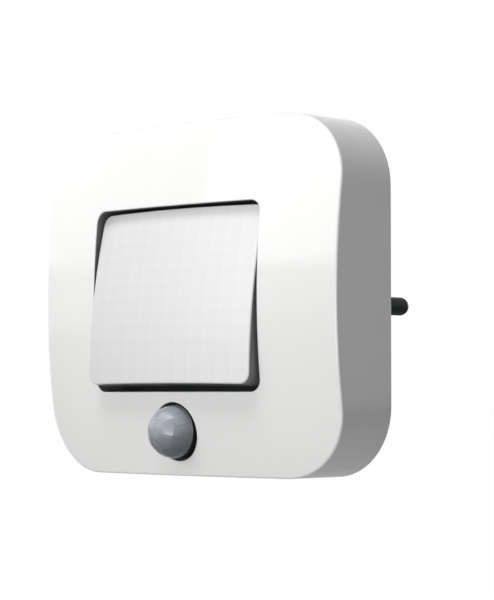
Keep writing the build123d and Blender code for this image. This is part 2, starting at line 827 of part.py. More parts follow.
# Reflector: a white tray inside the collar with a flared cup for each LED and openings for the switch
# and the daylight sensor.
daylight_sensor_x = daylight_sensor_inset - window_width / 2
with BuildPart() as reflector:
    with BuildSketch(at(board_front)):
        RectangleRounded(
            window_width - 2 * reflector_gap,
            window_height - 2 * reflector_gap,
            window_corner - reflector_gap,
        )
    extrude(amount=reflector_thickness)
    with BuildSketch(at(board_front + reflector_thickness)):
        with GridLocations(led_pitch_x, led_pitch_z, led_columns, led_rows):
            Rectangle(reflector_cup, reflector_cup)
    extrude(amount=-reflector_thickness, taper=reflector_cup_taper, mode=Mode.SUBTRACT)
    with BuildSketch(at(board_front)):
        with Locations((switch_x, 0)):
            Rectangle(fork_width + 2 * fork_gap, switch_length + 2 * (terminal_length + fork_gap))
        with Locations((daylight_sensor_x, 0)):
            Rectangle(daylight_sensor_size + 2 * reflector_gap, daylight_sensor_size + 2 * reflector_gap)
    extrude(amount=reflector_thickness, mode=Mode.SUBTRACT)
reflector.part.label = "reflector"
export_step(reflector.part, "parts/reflector.step")

with BuildPart() as daylight_sensor:
    with BuildSketch(at(board_front)):
        with Locations((daylight_sensor_x, 0)):
            Rectangle(daylight_sensor_size, daylight_sensor_size)
    extrude(amount=daylight_sensor_height)
daylight_sensor.part.label = "daylight_sensor"
export_step(daylight_sensor.part, "parts/daylight_sensor.step")

# Slide switch: its knob's foot runs inside the body, and the knob comes out through the slot.
switch_front = board_front + switch_height
foot_front = board_front + switch_wall
foot_end_z = knob_travel / 2 + knob_foot_length / 2 + slide_gap
with BuildPart() as switch_body:
    with BuildSketch(at(board_front)):
        with Locations((switch_x, 0)):
            Rectangle(switch_width, switch_length)
    extrude(amount=switch_height)
    with BuildSketch(at(foot_front)):
        with Locations((switch_x, 0)):
            Rectangle(knob_width + 2 * slide_gap, 2 * foot_end_z)
    extrude(amount=knob_foot_height + 2 * slide_gap, mode=Mode.SUBTRACT)
    with BuildSketch(at(foot_front)):
        with Locations((switch_x, 0)):
            Rectangle(knob_width + 2 * slide_gap, knob_length + knob_travel + 2 * slide_gap)
    extrude(amount=switch_height, mode=Mode.SUBTRACT)
switch_body.part.label = "switch_body"
export_step(switch_body.part, "parts/switch_body.step")

with BuildPart() as switch_knob:
    with BuildSketch(at(foot_front + slide_gap)):
        with Locations((switch_x, knob_rest_z)):
            Rectangle(knob_width, knob_foot_length)
    extrude(amount=knob_foot_height)
    with BuildSketch(at(foot_front + slide_gap)):
        with Locations((switch_x, knob_rest_z)):
            Rectangle(knob_width, knob_length)
    extrude(amount=switch_front + knob_height - foot_front - slide_gap)
switch_knob.part.label = "switch_knob"
export_step(switch_knob.part, "parts/switch_knob.step")

terminal_offset = (switch_length + terminal_length) / 2
with BuildPart() as switch_terminals:
    with BuildSketch(at(board_front)):
        with Locations((switch_x, terminal_offset), (switch_x, -terminal_offset)):
            Rectangle(terminal_width, terminal_length)
    extrude(amount=terminal_thickness)
switch_terminals.part.label = "switch_terminals"
export_step(switch_terminals.part, "parts/switch_terminals.step")

# Control parts on the rear of the main board
with BuildPart() as controller:
    with BuildSketch(at(board_rear_front - press_gap)):
        with Locations((controller_x, controller_z)):
            Rectangle(controller_width, controller_height)
    extrude(amount=-controller_thickness)
controller.part.label = "controller"
export_step(controller.part, "parts/controller.step")

controller_lead_offset = controller_height / 2 + controller_lead_length / 2
with BuildPart() as controller_leads:
    with BuildSketch(at(board_rear_front)):
        for side in (controller_lead_offset, -controller_lead_offset):
            with Locations((controller_x, controller_z + side)):
                with GridLocations(controller_lead_pitch, controller_lead_length, controller_lead_count, 1):
                    Rectangle(controller_lead_width, controller_lead_length)
    extrude(amount=-controller_lead_thickness)
controller_leads.part.label = "controller_leads"
export_step(controller_leads.part, "parts/controller_leads.step")

with BuildPart() as chip_resistors:
    with BuildSketch(at(board_rear_front)):
        with Locations((chip_row_centre_x, chip_row_centre_z)):
            with GridLocations(chip_spacing, chip_spacing, chip_columns, chip_rows):
                Rectangle(chip_length, chip_width)
    extrude(amount=-resistor_height)
chip_resistors.part.label = "chip_resistors"
export_step(chip_resistors.part, "parts/chip_resistors.step")

with BuildPart() as chip_capacitors:
    with BuildSketch(at(board_rear_front)):
        with Locations((chip_row_centre_x, chip_capacitor_centre_z)):
            with GridLocations(chip_spacing, chip_spacing, chip_columns, 1):
                Rectangle(chip_length, chip_width)
    extrude(amount=-chip_capacitor_height)
chip_capacitors.part.label = "chip_capacitors"
export_step(chip_capacitors.part, "parts/chip_capacitors.step")

# Header between the boards: pins and base on the power board, socket on the main board
header_length = header_ways * header_pitch
header_base_front = power_board_front + header_base_height
header_pin_front = header_base_front + header_pin_engagement
with BuildPart() as header_base:
    with BuildSketch(at(power_board_front)):
        with Locations((0, header_z)):
            Rectangle(header_length, header_width)
        with Locations(*header_pin_points):
            Rectangle(header_pin_size, header_pin_size, mode=Mode.SUBTRACT)
    extrude(amount=header_base_height)
header_base.part.label = "header_base"
export_step(header_base.part, "parts/header_base.step")

with BuildPart() as header_pins:
    with BuildSketch(at(power_board_rear_front - header_pin_tail)):
        with Locations(*header_pin_points):
            Rectangle(header_pin_size, header_pin_size)
    extrude(amount=header_pin_front - power_board_rear_front + header_pin_tail)
header_pins.part.label = "header_pins"
export_step(header_pins.part, "parts/header_pins.step")

with BuildPart() as header_socket:
    with BuildSketch(at(header_base_front + header_socket_gap)):
        with Locations((0, header_z)):
            Rectangle(header_length, header_width)
        with Locations(*header_pin_points):
            Rectangle(header_pin_size + 2 * press_gap, header_pin_size + 2 * press_gap, mode=Mode.SUBTRACT)
    extrude(amount=board_rear_front - header_base_front - header_socket_gap)
header_socket.part.label = "header_socket"
export_step(header_socket.part, "parts/header_socket.step")

# Power board: it stands on the four posts in the box, with its parts facing the plug.
wire_pads = [(wire_pad_x, wire_pad_z), (-wire_pad_x, wire_pad_z)]
with BuildPart() as power_board:
    with BuildSketch(at(power_board_rear_front)):
        RectangleRounded(power_board_width, power_board_width, power_board_corner)
        with Locations(*post_points):
            Circle(small_screw_radius + screw_hole_gap, mode=Mode.SUBTRACT)
        with Locations(*header_pin_points):
            Rectangle(header_pin_size + 2 * press_gap, header_pin_size + 2 * press_gap, mode=Mode.SUBTRACT)
    extrude(amount=board_thickness)
power_board.part.label = "power_board"
export_step(power_board.part, "parts/power_board.step")

with BuildPart() as film_capacitor:
    with BuildSketch(at(power_board_rear_front)):
        with Locations((0, film_capacitor_z)):
            Rectangle(film_capacitor_width, film_capacitor_length)
    extrude(amount=-film_capacitor_height)
    fillet(film_capacitor.faces().sort_by(Axis.Y)[-1].edges(), press_gap + running_gap)
film_capacitor.part.label = "film_capacitor"
export_step(film_capacitor.part, "parts/film_capacitor.step")

electrolytic_front = power_board_rear_front - electrolytic_radius
electrolytic_end = electrolytic_x - electrolytic_length / 2
with BuildPart() as electrolytic_capacitor:
    with BuildSketch(Plane.YZ.offset(electrolytic_end)):
        with Locations((-electrolytic_front, electrolytic_z)):
            Circle(electrolytic_radius)
    extrude(amount=electrolytic_length)
    with BuildSketch(Plane.YZ.offset(electrolytic_end + electrolytic_length / 6)):
        with Locations((-electrolytic_front, electrolytic_z)):
            Circle(electrolytic_radius + electrolytic_groove)
            Circle(electrolytic_radius - electrolytic_groove, mode=Mode.SUBTRACT)
    extrude(amount=2 * electrolytic_groove, mode=Mode.SUBTRACT)
electrolytic_capacitor.part.label = "electrolytic_capacitor"
export_step(electrolytic_capacitor.part, "parts/electrolytic_capacitor.step")

with BuildPart() as inductor:
    with BuildSketch(at(power_board_rear_front)):
        with Locations((inductor_x, inductor_z)):
            Circle(inductor_radius)
    extrude(amount=-inductor_height)
    with BuildSketch(at(power_board_rear_front - inductor_flange)):
        with Locations((inductor_x, inductor_z)):
            Circle(inductor_radius)
            Circle(inductor_waist, mode=Mode.SUBTRACT)
    extrude(amount=-(inductor_height - 2 * inductor_flange), mode=Mode.SUBTRACT)
inductor.part.label = "inductor"
export_step(inductor.part, "parts/inductor.step")

with BuildPart() as inductor_winding:
    with BuildSketch(at(power_board_rear_front - inductor_flange - press_gap)):
        with Locations((inductor_x, inductor_z)):
            Circle((inductor_radius + inductor_waist) / 2)
            Circle(inductor_waist + press_gap, mode=Mode.SUBTRACT)
    extrude(amount=-(inductor_height - 2 * inductor_flange - 2 * press_gap))
inductor_winding.part.label = "inductor_winding"
export_step(inductor_winding.part, "parts/inductor_winding.step")

with BuildPart() as bridge_rectifier:
    with BuildSketch(at(power_board_rear_front)):
        with Locations((bridge_x, bridge_z)):
            Rectangle(bridge_width, bridge_length)
    extrude(amount=-bridge_height)
bridge_rectifier.part.label = "bridge_rectifier"
export_step(bridge_rectifier.part, "parts/bridge_rectifier.step")

with BuildPart() as fuse_resistor:
    with BuildSketch(Plane.XY.offset(fuse_z - fuse_length / 2)):
        with Locations((fuse_x, -(power_board_rear_front - fuse_radius))):
            Circle(fuse_radius)
    extrude(amount=fuse_length)
fuse_resistor.part.label = "fuse_resistor"
export_step(fuse_resistor.part, "parts/fuse_resistor.step")

with BuildPart() as varistor:
    with BuildSketch(Plane.YZ.offset(varistor_x - varistor_thickness / 2)):
        with Locations((-(power_board_rear_front - varistor_radius), varistor_z)):
            Circle(varistor_radius)
    extrude(amount=varistor_thickness)
varistor.part.label = "varistor"
export_step(varistor.part, "parts/varistor.step")


# Wire from a pin's solder tail to its pad on the power board, in straight runs joined by arcs
def plug_wire(side):
    pin_x = side * pin_spacing / 2
    pad_x = side * wire_pad_x
    path = [
        (pin_x, -tail_end_front, 0),
        (pin_x, -tail_end_front - wire_first_run, 0),
        (pad_x, -power_board_rear_front + wire_last_run, wire_pad_z),
        (pad_x, -power_board_rear_front, wire_pad_z),
    ]
    with BuildPart() as wire:
        with BuildLine():
            FilletPolyline(*path, radius=wire_bend_radius)
        with BuildSketch(at(tail_end_front)):
            with Locations((pin_x, 0)):
                Circle(wire_radius)
        sweep()
    return wire.part


line_lead = plug_wire(1)
with BuildPart() as line_wire:
    add(line_lead)
line_wire.part.label = "line_wire"
export_step(line_wire.part, "parts/line_wire.step")

neutral_lead = plug_wire(-1)
with BuildPart() as neutral_wire:
    add(neutral_lead)
neutral_wire.part.label = "neutral_wire"
export_step(neutral_wire.part, "parts/neutral_wire.step")

# Screws, one node for each set
cover_screw_set = screw_group(
    seats_facing_rear(corner_boss_points, back_front + large_head_height),
    large_screw_radius,
    large_screw_length,
    large_head_radius,
    large_head_height,
)
with BuildPart() as cover_screws:
    add(cover_screw_set)
cover_screws.part.label = "cover_screws"
export_step(cover_screws.part, "parts/cover_screws.step")

board_screw_set = screw_group(
    seats_facing_rear(board_boss_points, board_rear_front),
    small_screw_radius,
    small_screw_length,
    small_head_radius,
    small_head_height,
)
with BuildPart() as board_screws:
    add(board_screw_set)
board_screws.part.label = "board_screws"
export_step(board_screws.part, "parts/board_screws.step")

power_board_screw_set = screw_group(
    seats_facing_front(post_points, power_board_front),
    small_screw_radius,
    small_screw_length,
    small_head_radius,
    small_head_height,
)
with BuildPart() as power_board_screws:
    add(power_board_screw_set)
power_board_screws.part.label = "power_board_screws"
export_step(power_board_screws.part, "parts/power_board_screws.step")

flange_screw_set = screw_group(
    seats_facing_front(flange_screw_points, flange_top_front),
    small_screw_radius,
    short_screw_length,
    small_head_radius,
    small_head_height,
)
with BuildPart() as flange_screws:
    add(flange_screw_set)
flange_screws.part.label = "flange_screws"
export_step(flange_screws.part, "parts/flange_screws.step")

retainer_screw_set = screw_group(
    seats_facing_front(retainer_screw_points, retainer_front),
    small_screw_radius,
    short_screw_length,
    small_head_radius,
    small_head_height,
)
with BuildPart() as retainer_screws:
    add(retainer_screw_set)
retainer_screws.part.label = "retainer_screws"
export_step(retainer_screws.part, "parts/retainer_screws.step")
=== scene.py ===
import math

import bpy
import numpy as np
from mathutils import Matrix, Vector


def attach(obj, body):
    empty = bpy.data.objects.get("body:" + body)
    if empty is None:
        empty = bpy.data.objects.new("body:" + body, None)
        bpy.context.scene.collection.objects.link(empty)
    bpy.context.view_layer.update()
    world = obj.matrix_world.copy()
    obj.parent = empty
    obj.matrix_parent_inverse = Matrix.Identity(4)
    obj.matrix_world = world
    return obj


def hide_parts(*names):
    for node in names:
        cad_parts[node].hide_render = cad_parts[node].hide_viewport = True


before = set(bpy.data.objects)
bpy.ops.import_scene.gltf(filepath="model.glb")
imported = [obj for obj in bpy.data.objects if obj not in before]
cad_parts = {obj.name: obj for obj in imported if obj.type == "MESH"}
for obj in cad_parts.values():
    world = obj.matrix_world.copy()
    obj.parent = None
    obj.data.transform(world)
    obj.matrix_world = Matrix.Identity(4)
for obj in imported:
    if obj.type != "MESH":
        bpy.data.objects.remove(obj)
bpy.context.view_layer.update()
scene = bpy.context.scene
print("frame loaded:", len(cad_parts), "nodes")

# camera: right of the front and a little below the middle, looking slightly up
cameraSet = dict(place=(0.375018, -0.430507, -0.023213), turn=0.75533, lift=0.04327, lens=130.62)


def placeCamera(c):
    data = bpy.data.cameras.new("camera")
    data.lens, data.clip_start, data.clip_end = c["lens"], 0.01, 50
    lookout = bpy.data.objects.new("camera", data)
    lookout.location = c["place"]
    lookout.rotation_euler = (math.pi / 2 + c["lift"], 0, c["turn"])
    scene.collection.objects.link(lookout)
    scene.camera = lookout


placeCamera(cameraSet)
scene.view_settings.view_transform = "Standard"
print("camera placed")


# nodes: one call makes a node, sets its values and links its inputs
def node(tree, kind, inputs=None, **settings):
    made = tree.nodes.new("ShaderNode" + kind)
    for name, value in settings.items():
        setattr(made, name, value)
    for name, value in (inputs or {}).items():
        socket = made.inputs[name]
        if isinstance(value, bpy.types.NodeSocket):
            tree.links.new(value, socket)
        else:
            socket.default_value = value
    return made


def rgb(colour):
    return (*colour, 1.0)


# studio: a pale floor, a white backdrop and soft boxes on a sphere about the middle, in metres. The floor is
# part matt and part its own white, with one share of white for the eye and a smaller one for reflections.
studio = dict(
    floorDrop=0.24, floorSize=60.0, floorColour=(0.4, 0.4, 0.4), floorWhite=1.05,
    floorSeenWhite=0.95, floorGlossWhite=0.4,
    ambient=0.02, ambientColour=(0.97, 0.985, 1.0), middle=(0.0, -0.05, 0.0), distance=1.1,
    boxes=dict(  # turn from the front and rise in degrees, width, height, brightness, colour
        lowBox=(16, -2, 0.80, 0.30, 5.7, (1.0, 1.0, 1.0)),
        topBox=(8, 66, 0.60, 0.40, 8.0, (1.0, 1.0, 1.0)),
        highBox=(-50, 58, 0.50, 0.40, 2.0, (1.0, 0.998, 0.99)),
        rightPanel=(-20, 19.5, 0.72, 0.46, 2.6, (1.0, 1.0, 1.0)),
        leftPanel=(-60, 18.5, 0.90, 0.46, 0.85, (1.0, 0.998, 0.99)),
        sideBox=(60, 0, 0.45, 0.45, 0.65, (1.0, 1.0, 1.0)),
        rearBox=(180, 8, 0.60, 0.30, 4.6, (1.0, 1.0, 1.0)),
    ),
)


# A box faces the middle. Its power is brightness x area x pi, so that brightness is the panel's own.
def softBox(name, middle, distance, turn, rise, width, height, brightness, colour):
    turn, rise = math.radians(turn), math.radians(rise)
    way = Vector((math.sin(turn) * math.cos(rise), -math.cos(turn) * math.cos(rise), math.sin(rise)))
    data = bpy.data.lights.new(name, "AREA")
    data.shape, data.size, data.size_y = "RECTANGLE", width, height
    data.energy, data.color = brightness * width * height * math.pi, colour
    box = bpy.data.objects.new(name, data)
    box.location = Vector(middle) + distance * way
    box.rotation_euler = (-way).to_track_quat("-Z", "Y").to_euler()
    scene.collection.objects.link(box)


def setStudio(s):
    world = bpy.data.worlds.new("studio")
    scene.world = world
    world.use_nodes = True
    tree = world.node_tree
    rays = node(tree, "LightPath")
    seen = node(tree, "Math", {0: rays.outputs["Is Camera Ray"], 1: rays.outputs["Is Glossy Ray"]},
                operation="MAXIMUM")
    seen = node(tree, "Math", {0: seen.outputs[0], 1: rays.outputs["Is Transmission Ray"]},
                operation="MAXIMUM")
    fill = tree.nodes["Background"]
    fill.inputs["Color"].default_value = rgb(s["ambientColour"])
    fill.inputs["Strength"].default_value = s["ambient"]
    white = node(tree, "Background", {"Color": (1, 1, 1, 1), "Strength": 1.0})
    both = node(tree, "MixShader", {0: seen.outputs[0], 1: fill.outputs[0], 2: white.outputs[0]})
    tree.links.new(both.outputs[0], tree.nodes["World Output"].inputs["Surface"])

    half, low = s["floorSize"] / 2, -s["floorDrop"]
    mesh = bpy.data.meshes.new("floor")
    mesh.from_pydata([(-half, -half, low), (half, -half, low), (half, half, low), (-half, half, low)], [],
                     [(0, 1, 2, 3)])
    floor = bpy.data.objects.new("floor", mesh)
    scene.collection.objects.link(floor)
    paint = bpy.data.materials.new("floorPaint")
    paint.use_nodes = True
    tree = paint.node_tree
    tree.nodes.remove(tree.nodes["Principled BSDF"])
    rays = node(tree, "LightPath")
    seen = node(tree, "Math", {0: rays.outputs["Is Camera Ray"], 1: rays.outputs["Is Transmission Ray"]},
                operation="MAXIMUM")
    seen = node(tree, "Math", {0: seen.outputs[0], 1: s["floorSeenWhite"]}, operation="MULTIPLY")
    glossy = node(tree, "Math", {0: rays.outputs["Is Glossy Ray"], 1: s["floorGlossWhite"]}, operation="MULTIPLY")
    share = node(tree, "Math", {0: seen.outputs[0], 1: glossy.outputs[0]}, operation="MAXIMUM")
    matt = node(tree, "BsdfDiffuse", {"Color": rgb(s["floorColour"])})
    white = node(tree, "Emission", {"Color": (1, 1, 1, 1), "Strength": s["floorWhite"]})
    both = node(tree, "MixShader", {0: share.outputs[0], 1: matt.outputs[0], 2: white.outputs[0]})
    tree.links.new(both.outputs[0], tree.nodes["Material Output"].inputs["Surface"])
    mesh.materials.append(paint)
    for name, box in s["boxes"].items():
        softBox(name, s["middle"], s["distance"], *box)


setStudio(studio)
print("studio set:", len(studio["boxes"]), "soft boxes")


# materials: lengths in metres, as Object coordinates are
def newMaterial(name):
    made = bpy.data.materials.new(name)
    made.use_nodes = True
    return made, made.node_tree, made.node_tree.nodes["Principled BSDF"]


# The piece's own coordinates, scaled and turned
def objectPlace(tree, scale=(1, 1, 1), turn=(0, 0, 0)):
    where = node(tree, "TexCoord")
    return node(tree, "Mapping", {"Vector": where.outputs["Object"], "Scale": scale, "Rotation": turn}).outputs[0]


# The driver's way from start to end turns the colour low into the colour high.
def shades(tree, driver, low, high, start=0.0, end=1.0):
    ramp = node(tree, "MapRange", {"Value": driver, "From Min": start, "From Max": end})
    mixed = node(tree, "Mix", {"Factor": ramp.outputs[0]}, data_type="RGBA")
    mixed.inputs["A"].default_value, mixed.inputs["B"].default_value = rgb(low), rgb(high)
    return mixed.outputs["Result"]


# The same for a plain value
def span(tree, driver, low, high, start=0.0, end=1.0):
    return node(tree, "MapRange", {"Value": driver, "From Min": start, "From Max": end,
                                   "To Min": low, "To Max": high}).outputs[0]


# moulded plastic: slow mottling, fine grain in the bump and a gloss that varies a little. A sheer one lets some
# light in, and a coat is a layer of lacquer.
def mouldedPlastic(name, colour, gloss=0.3, grain=0.0004, depth=0.00002, mottle=0.02, coat=0.0, sheer=0.0,
                   specular=0.5):
    made, tree, skin = newMaterial(name)
    place = objectPlace(tree)
    slow = node(tree, "TexNoise", {"Vector": place, "Scale": 35.0, "Detail": 3.0})
    fine = node(tree, "TexNoise", {"Vector": place, "Scale": 1.0 / grain, "Detail": 2.0})
    low = tuple(c * (1 - mottle) for c in colour)
    high = tuple(min(1.0, c * (1 + mottle)) for c in colour)
    tree.links.new(shades(tree, slow.outputs[0], low, high, 0.3, 0.7), skin.inputs["Base Color"])
    tree.links.new(span(tree, fine.outputs[0], gloss * 0.9, gloss * 1.12, 0.3, 0.7), skin.inputs["Roughness"])
    bump = node(tree, "Bump", {"Height": fine.outputs[0], "Strength": 1.0, "Distance": depth})
    tree.links.new(bump.outputs[0], skin.inputs["Normal"])
    skin.inputs["Specular IOR Level"].default_value = specular
    skin.inputs["Coat Weight"].default_value = coat
    skin.inputs["Coat Roughness"].default_value = 0.05
    if sheer:
        skin.inputs["Subsurface Weight"].default_value = sheer
        skin.inputs["Subsurface Radius"].default_value = (1.0, 1.0, 1.0)
        skin.inputs["Subsurface Scale"].default_value = 0.0008
    return made


# moulded plastic with a dark border, a painted shade, where max(|x| - across, |z| - up) is above 0
def shadeBorderedPlastic(name, colour, border, across, up, blur=0.0002):
    made = mouldedPlastic(name, colour, gloss=0.45, grain=0.0004)
    tree = made.node_tree
    skin = tree.nodes["Principled BSDF"]
    inner = skin.inputs["Base Color"].links[0].from_socket
    place = node(tree, "SeparateXYZ", {0: objectPlace(tree)})
    past = []
    for axis, half in (("X", across), ("Z", up)):
        far = node(tree, "Math", {0: place.outputs[axis]}, operation="ABSOLUTE")
        past.append(node(tree, "Math", {0: far.outputs[0], 1: half}, operation="SUBTRACT").outputs[0])
    edge = node(tree, "Math", {0: past[0], 1: past[1]}, operation="MAXIMUM").outputs[0]
    mixed = node(tree, "Mix", {"Factor": span(tree, edge, 0.0, 1.0, 0.0, blur)}, data_type="RGBA")
    tree.links.new(inner, mixed.inputs["A"])
    mixed.inputs["B"].default_value = rgb(border)
    tree.links.new(mixed.outputs["Result"], skin.inputs["Base Color"])
    return made


# drawn or turned metal: streaks across `along`, 25 times as long as they are wide, and a gloss that varies
def streakedMetal(name, colour, gloss=0.25, along=(0, 1, 0), pitch=0.0003, depth=0.000004, metallic=1.0,
                  specular=0.5, stretch=0.04, dark=0.82):
    made, tree, skin = newMaterial(name)
    scale = tuple(1.0 if step else stretch for step in along)
    streak = node(tree, "TexNoise", {"Vector": objectPlace(tree, scale), "Scale": 1.0 / pitch, "Detail": 2.0})
    low = tuple(c * dark for c in colour)
    tree.links.new(shades(tree, streak.outputs[0], low, colour, 0.3, 0.7), skin.inputs["Base Color"])
    tree.links.new(span(tree, streak.outputs[0], gloss * 0.8, gloss * 1.3, 0.3, 0.7), skin.inputs["Roughness"])
    bump = node(tree, "Bump", {"Height": streak.outputs[0], "Strength": 1.0, "Distance": depth})
    tree.links.new(bump.outputs[0], skin.inputs["Normal"])
    skin.inputs["Metallic"].default_value = metallic
    skin.inputs["Specular IOR Level"].default_value = specular
    return made


# circuit board: solder mask over straight copper tracks, with a fine weave in the bump
def boardLaminate(name, mask, track, pitch=0.0013, gloss=0.35, trackShare=0.13, run=5, depth=0.00002, dark=0.85):
    made, tree, skin = newMaterial(name)
    place = objectPlace(tree)
    runs = node(tree, "TexBrick", {"Vector": objectPlace(tree, turn=(math.pi / 2, 0, 0)), "Scale": 1.0,
                                   "Color1": (0, 0, 0, 1), "Color2": (0, 0, 0, 1), "Mortar": (1, 1, 1, 1),
                                   "Brick Width": pitch * run, "Row Height": pitch,
                                   "Mortar Size": pitch * trackShare,
                                   "Mortar Smooth": 0.3})
    weave = node(tree, "TexNoise", {"Vector": place, "Scale": 900.0, "Detail": 1.0})
    cloud = node(tree, "TexNoise", {"Vector": place, "Scale": 60.0, "Detail": 2.0})
    base = shades(tree, cloud.outputs[0], tuple(c * dark for c in mask), mask, 0.3, 0.7)
    mixed = node(tree, "Mix", {"Factor": runs.outputs["Color"]}, data_type="RGBA")
    tree.links.new(base, mixed.inputs["A"])
    mixed.inputs["B"].default_value = rgb(track)
    tree.links.new(mixed.outputs["Result"], skin.inputs["Base Color"])
    lift = node(tree, "Math", {0: runs.outputs["Color"], 1: weave.outputs[0]}, operation="ADD")
    bump = node(tree, "Bump", {"Height": lift.outputs[0], "Strength": 1.0, "Distance": depth})
    tree.links.new(bump.outputs[0], skin.inputs["Normal"])
    tree.links.new(span(tree, cloud.outputs[0], gloss * 0.9, gloss * 1.15), skin.inputs["Roughness"])
    return made


# enamelled wire in close turns along one axis, painted dark in the grooves between them, a painted shade
def woundWire(name, colour, pitch=0.0004, axis="Y", depth=0.00008, metallic=0.85, gloss=0.3, dark=0.45):
    made, tree, skin = newMaterial(name)
    turns = node(tree, "TexWave", {"Vector": objectPlace(tree), "Scale": 1.0 / (2 * math.pi * pitch),
                                   "Distortion": 0.2, "Detail": 1.0}, wave_type="BANDS", bands_direction=axis)
    low = tuple(c * dark for c in colour)
    tree.links.new(shades(tree, turns.outputs["Fac"], low, colour, 0.1, 0.8), skin.inputs["Base Color"])
    bump = node(tree, "Bump", {"Height": turns.outputs["Fac"], "Strength": 1.0, "Distance": depth})
    tree.links.new(bump.outputs[0], skin.inputs["Normal"])
    skin.inputs["Metallic"].default_value = metallic
    skin.inputs["Roughness"].default_value = gloss
    return made


print("material makers ready")


# Surfaces: a sheet is a grid of points and a grid of normals, in millimetres as (across, up, forward), made
# metres when it is welded. On the cover, across is +X, up is +Z and forward is -Y.
def onCover(place):
    return np.stack([place[..., 0], -place[..., 2], place[..., 1]], -1)


rockerTilt = math.radians(7.54)  # how far the plate's top leans in
rockerPivot = 54.6  # how far forward its pins are


# On the rocker, up and forward lean with the plate: up x cos + forward x sin, and forward x cos - up x sin.
def onRocker(place):
    up = place[..., 1] * math.cos(rockerTilt) + place[..., 2] * math.sin(rockerTilt)
    forward = place[..., 2] * math.cos(rockerTilt) - place[..., 1] * math.sin(rockerTilt)
    return np.stack([place[..., 0], -forward, up], -1)


# Rounded rectangle walked once round, from the left end of its lower side: `side` steps on each straight
# side and `turn` steps on each corner. Gives points and outward directions, with the first point again last.
def roundedOutline(width, height, corner, side, turn):
    reach = np.array([width / 2 - corner, height / 2 - corner])
    faces = np.array([[0, -1], [1, 0], [0, 1], [-1, 0]], float)
    centres = np.array([[1, -1], [1, 1], [-1, 1], [-1, -1]]) * reach
    along = np.linspace(0, 1, side, endpoint=False)[:, None]
    swing = np.linspace(0, math.pi / 2, turn, endpoint=False)[:, None]
    points, ways = [], []
    for k in range(4):
        face, after = faces[k], faces[(k + 1) % 4]
        bend = np.cos(swing) * face + np.sin(swing) * after
        points += [centres[k - 1] + corner * face + along * (centres[k] - centres[k - 1]),
                   centres[k] + corner * bend]
        ways += [np.repeat(face[None], side, 0), bend]
    points, ways = np.concatenate(points), np.concatenate(ways)
    return np.vstack([points, points[:1]]), np.vstack([ways, ways[:1]])


# Barrel dome: an upright arc turned about an upright axis. front = crown - level + root(reach^2 - x^2), where
# reach = level - upright + root((upright - inset)^2 - z^2). Gives points and their normals.
def domeAt(flat, d, inset=0.0):
    x, z = flat[..., 0], flat[..., 1]
    arc = np.sqrt((d["upright"] - inset) ** 2 - z**2)
    reach = d["level"] - d["upright"] + arc
    depth = np.sqrt(reach**2 - x**2)
    facing = np.stack([x / depth, reach / depth * z / arc, np.ones_like(x)], -1)
    facing /= np.linalg.norm(facing, axis=-1, keepdims=True)
    return np.stack([x, z, d["crown"] - d["level"] + depth], -1), facing


# Rolling-ball round between a dome and an upright wall: the ball's centre is one radius in from both, found in
# a few rounds, and the arc turns from the dome's normal to the wall's.
def edgeRound(outline, wallWay, radius, d, steps, rounds=12):
    flat = outline - radius * wallWay
    for _ in range(rounds):
        _, facing = domeAt(flat, d)
        flat = outline - radius * wallWay + radius * facing[:, :2]
    onDome, facing = domeAt(flat, d)
    centre = onDome - radius * facing
    wall = np.column_stack([wallWay, np.zeros(len(wallWay))])
    angle = np.arccos(np.clip((facing * wall).sum(1), -1, 1))[None, :, None]
    t = np.linspace(0, 1, steps + 1)[:, None, None]
    ways = (np.sin((1 - t) * angle) * facing + np.sin(t * angle) * wall) / np.sin(angle)
    return centre + radius * ways, ways


# Wall from a row of points straight to a plane
def wallTo(row, ways, front, steps=1):
    end = row.copy()
    end[:, 2] = front
    t = np.linspace(0, 1, steps + 1)[:, None, None]
    return row + t * (end - row), np.repeat(np.column_stack([ways, np.zeros(len(ways))])[None], steps + 1, 0)


# Flat land between two outlines in one plane
def landBetween(inner, outer, front, forward):
    rows = np.stack([inner, outer])
    place = np.dstack([rows, np.full(rows.shape[:2], front)])
    return place, np.broadcast_to(np.array([0.0, 0.0, forward]), place.shape)


# Profile of a turned shape, from corners of (radius, forward, corner radius). Each corner becomes an arc of its
# radius that cuts off radius x tan(turn / 2) of both sides, and normals are to the right of the way walked.
def turnedProfile(corners, steps=6):
    path = np.array([c[:2] for c in corners], float)
    way = np.diff(path, axis=0)
    way /= np.linalg.norm(way, axis=1)[:, None]
    side = np.column_stack([way[:, 1], -way[:, 0]])
    points, ways = [path[:1]], [side[:1]]
    for k in range(1, len(path) - 1):
        radius = corners[k][2]
        turn = math.acos(max(-1.0, min(1.0, float(way[k - 1] @ way[k]))))
        cut = radius * math.tan(turn / 2)
        t = np.linspace(0, 1, (steps if radius else 1) + 1)[:, None]
        bend = (np.sin((1 - t) * turn) * side[k - 1] + np.sin(t * turn) * side[k]) / math.sin(turn)
        hand = 1.0 if way[k - 1][0] * way[k][1] - way[k - 1][1] * way[k][0] > 0 else -1.0
        centre = path[k] - way[k - 1] * cut - hand * radius * side[k - 1]
        points.append(centre + hand * radius * bend)
        ways.append(bend)
    points.append(path[-1:])
    ways.append(side[-1:])
    return np.concatenate(points), np.concatenate(ways)


# The profile carried round an upright axis: centre + radius x (cos, sin) of the angle, with forward unchanged
def turned(corners, centre, around, steps=6):
    profile, ways = turnedProfile(corners, steps)
    angle = np.linspace(0, 2 * math.pi, around + 1)
    ring = np.stack([np.cos(angle), np.sin(angle)], -1)
    place = np.dstack([profile[:, :1, None] * ring[None] + np.array(centre),
                       np.repeat(profile[:, 1:, None], around + 1, 1)])
    facing = np.dstack([ways[:, :1, None] * ring[None], np.repeat(ways[:, 1:, None], around + 1, 1)])
    return place, facing


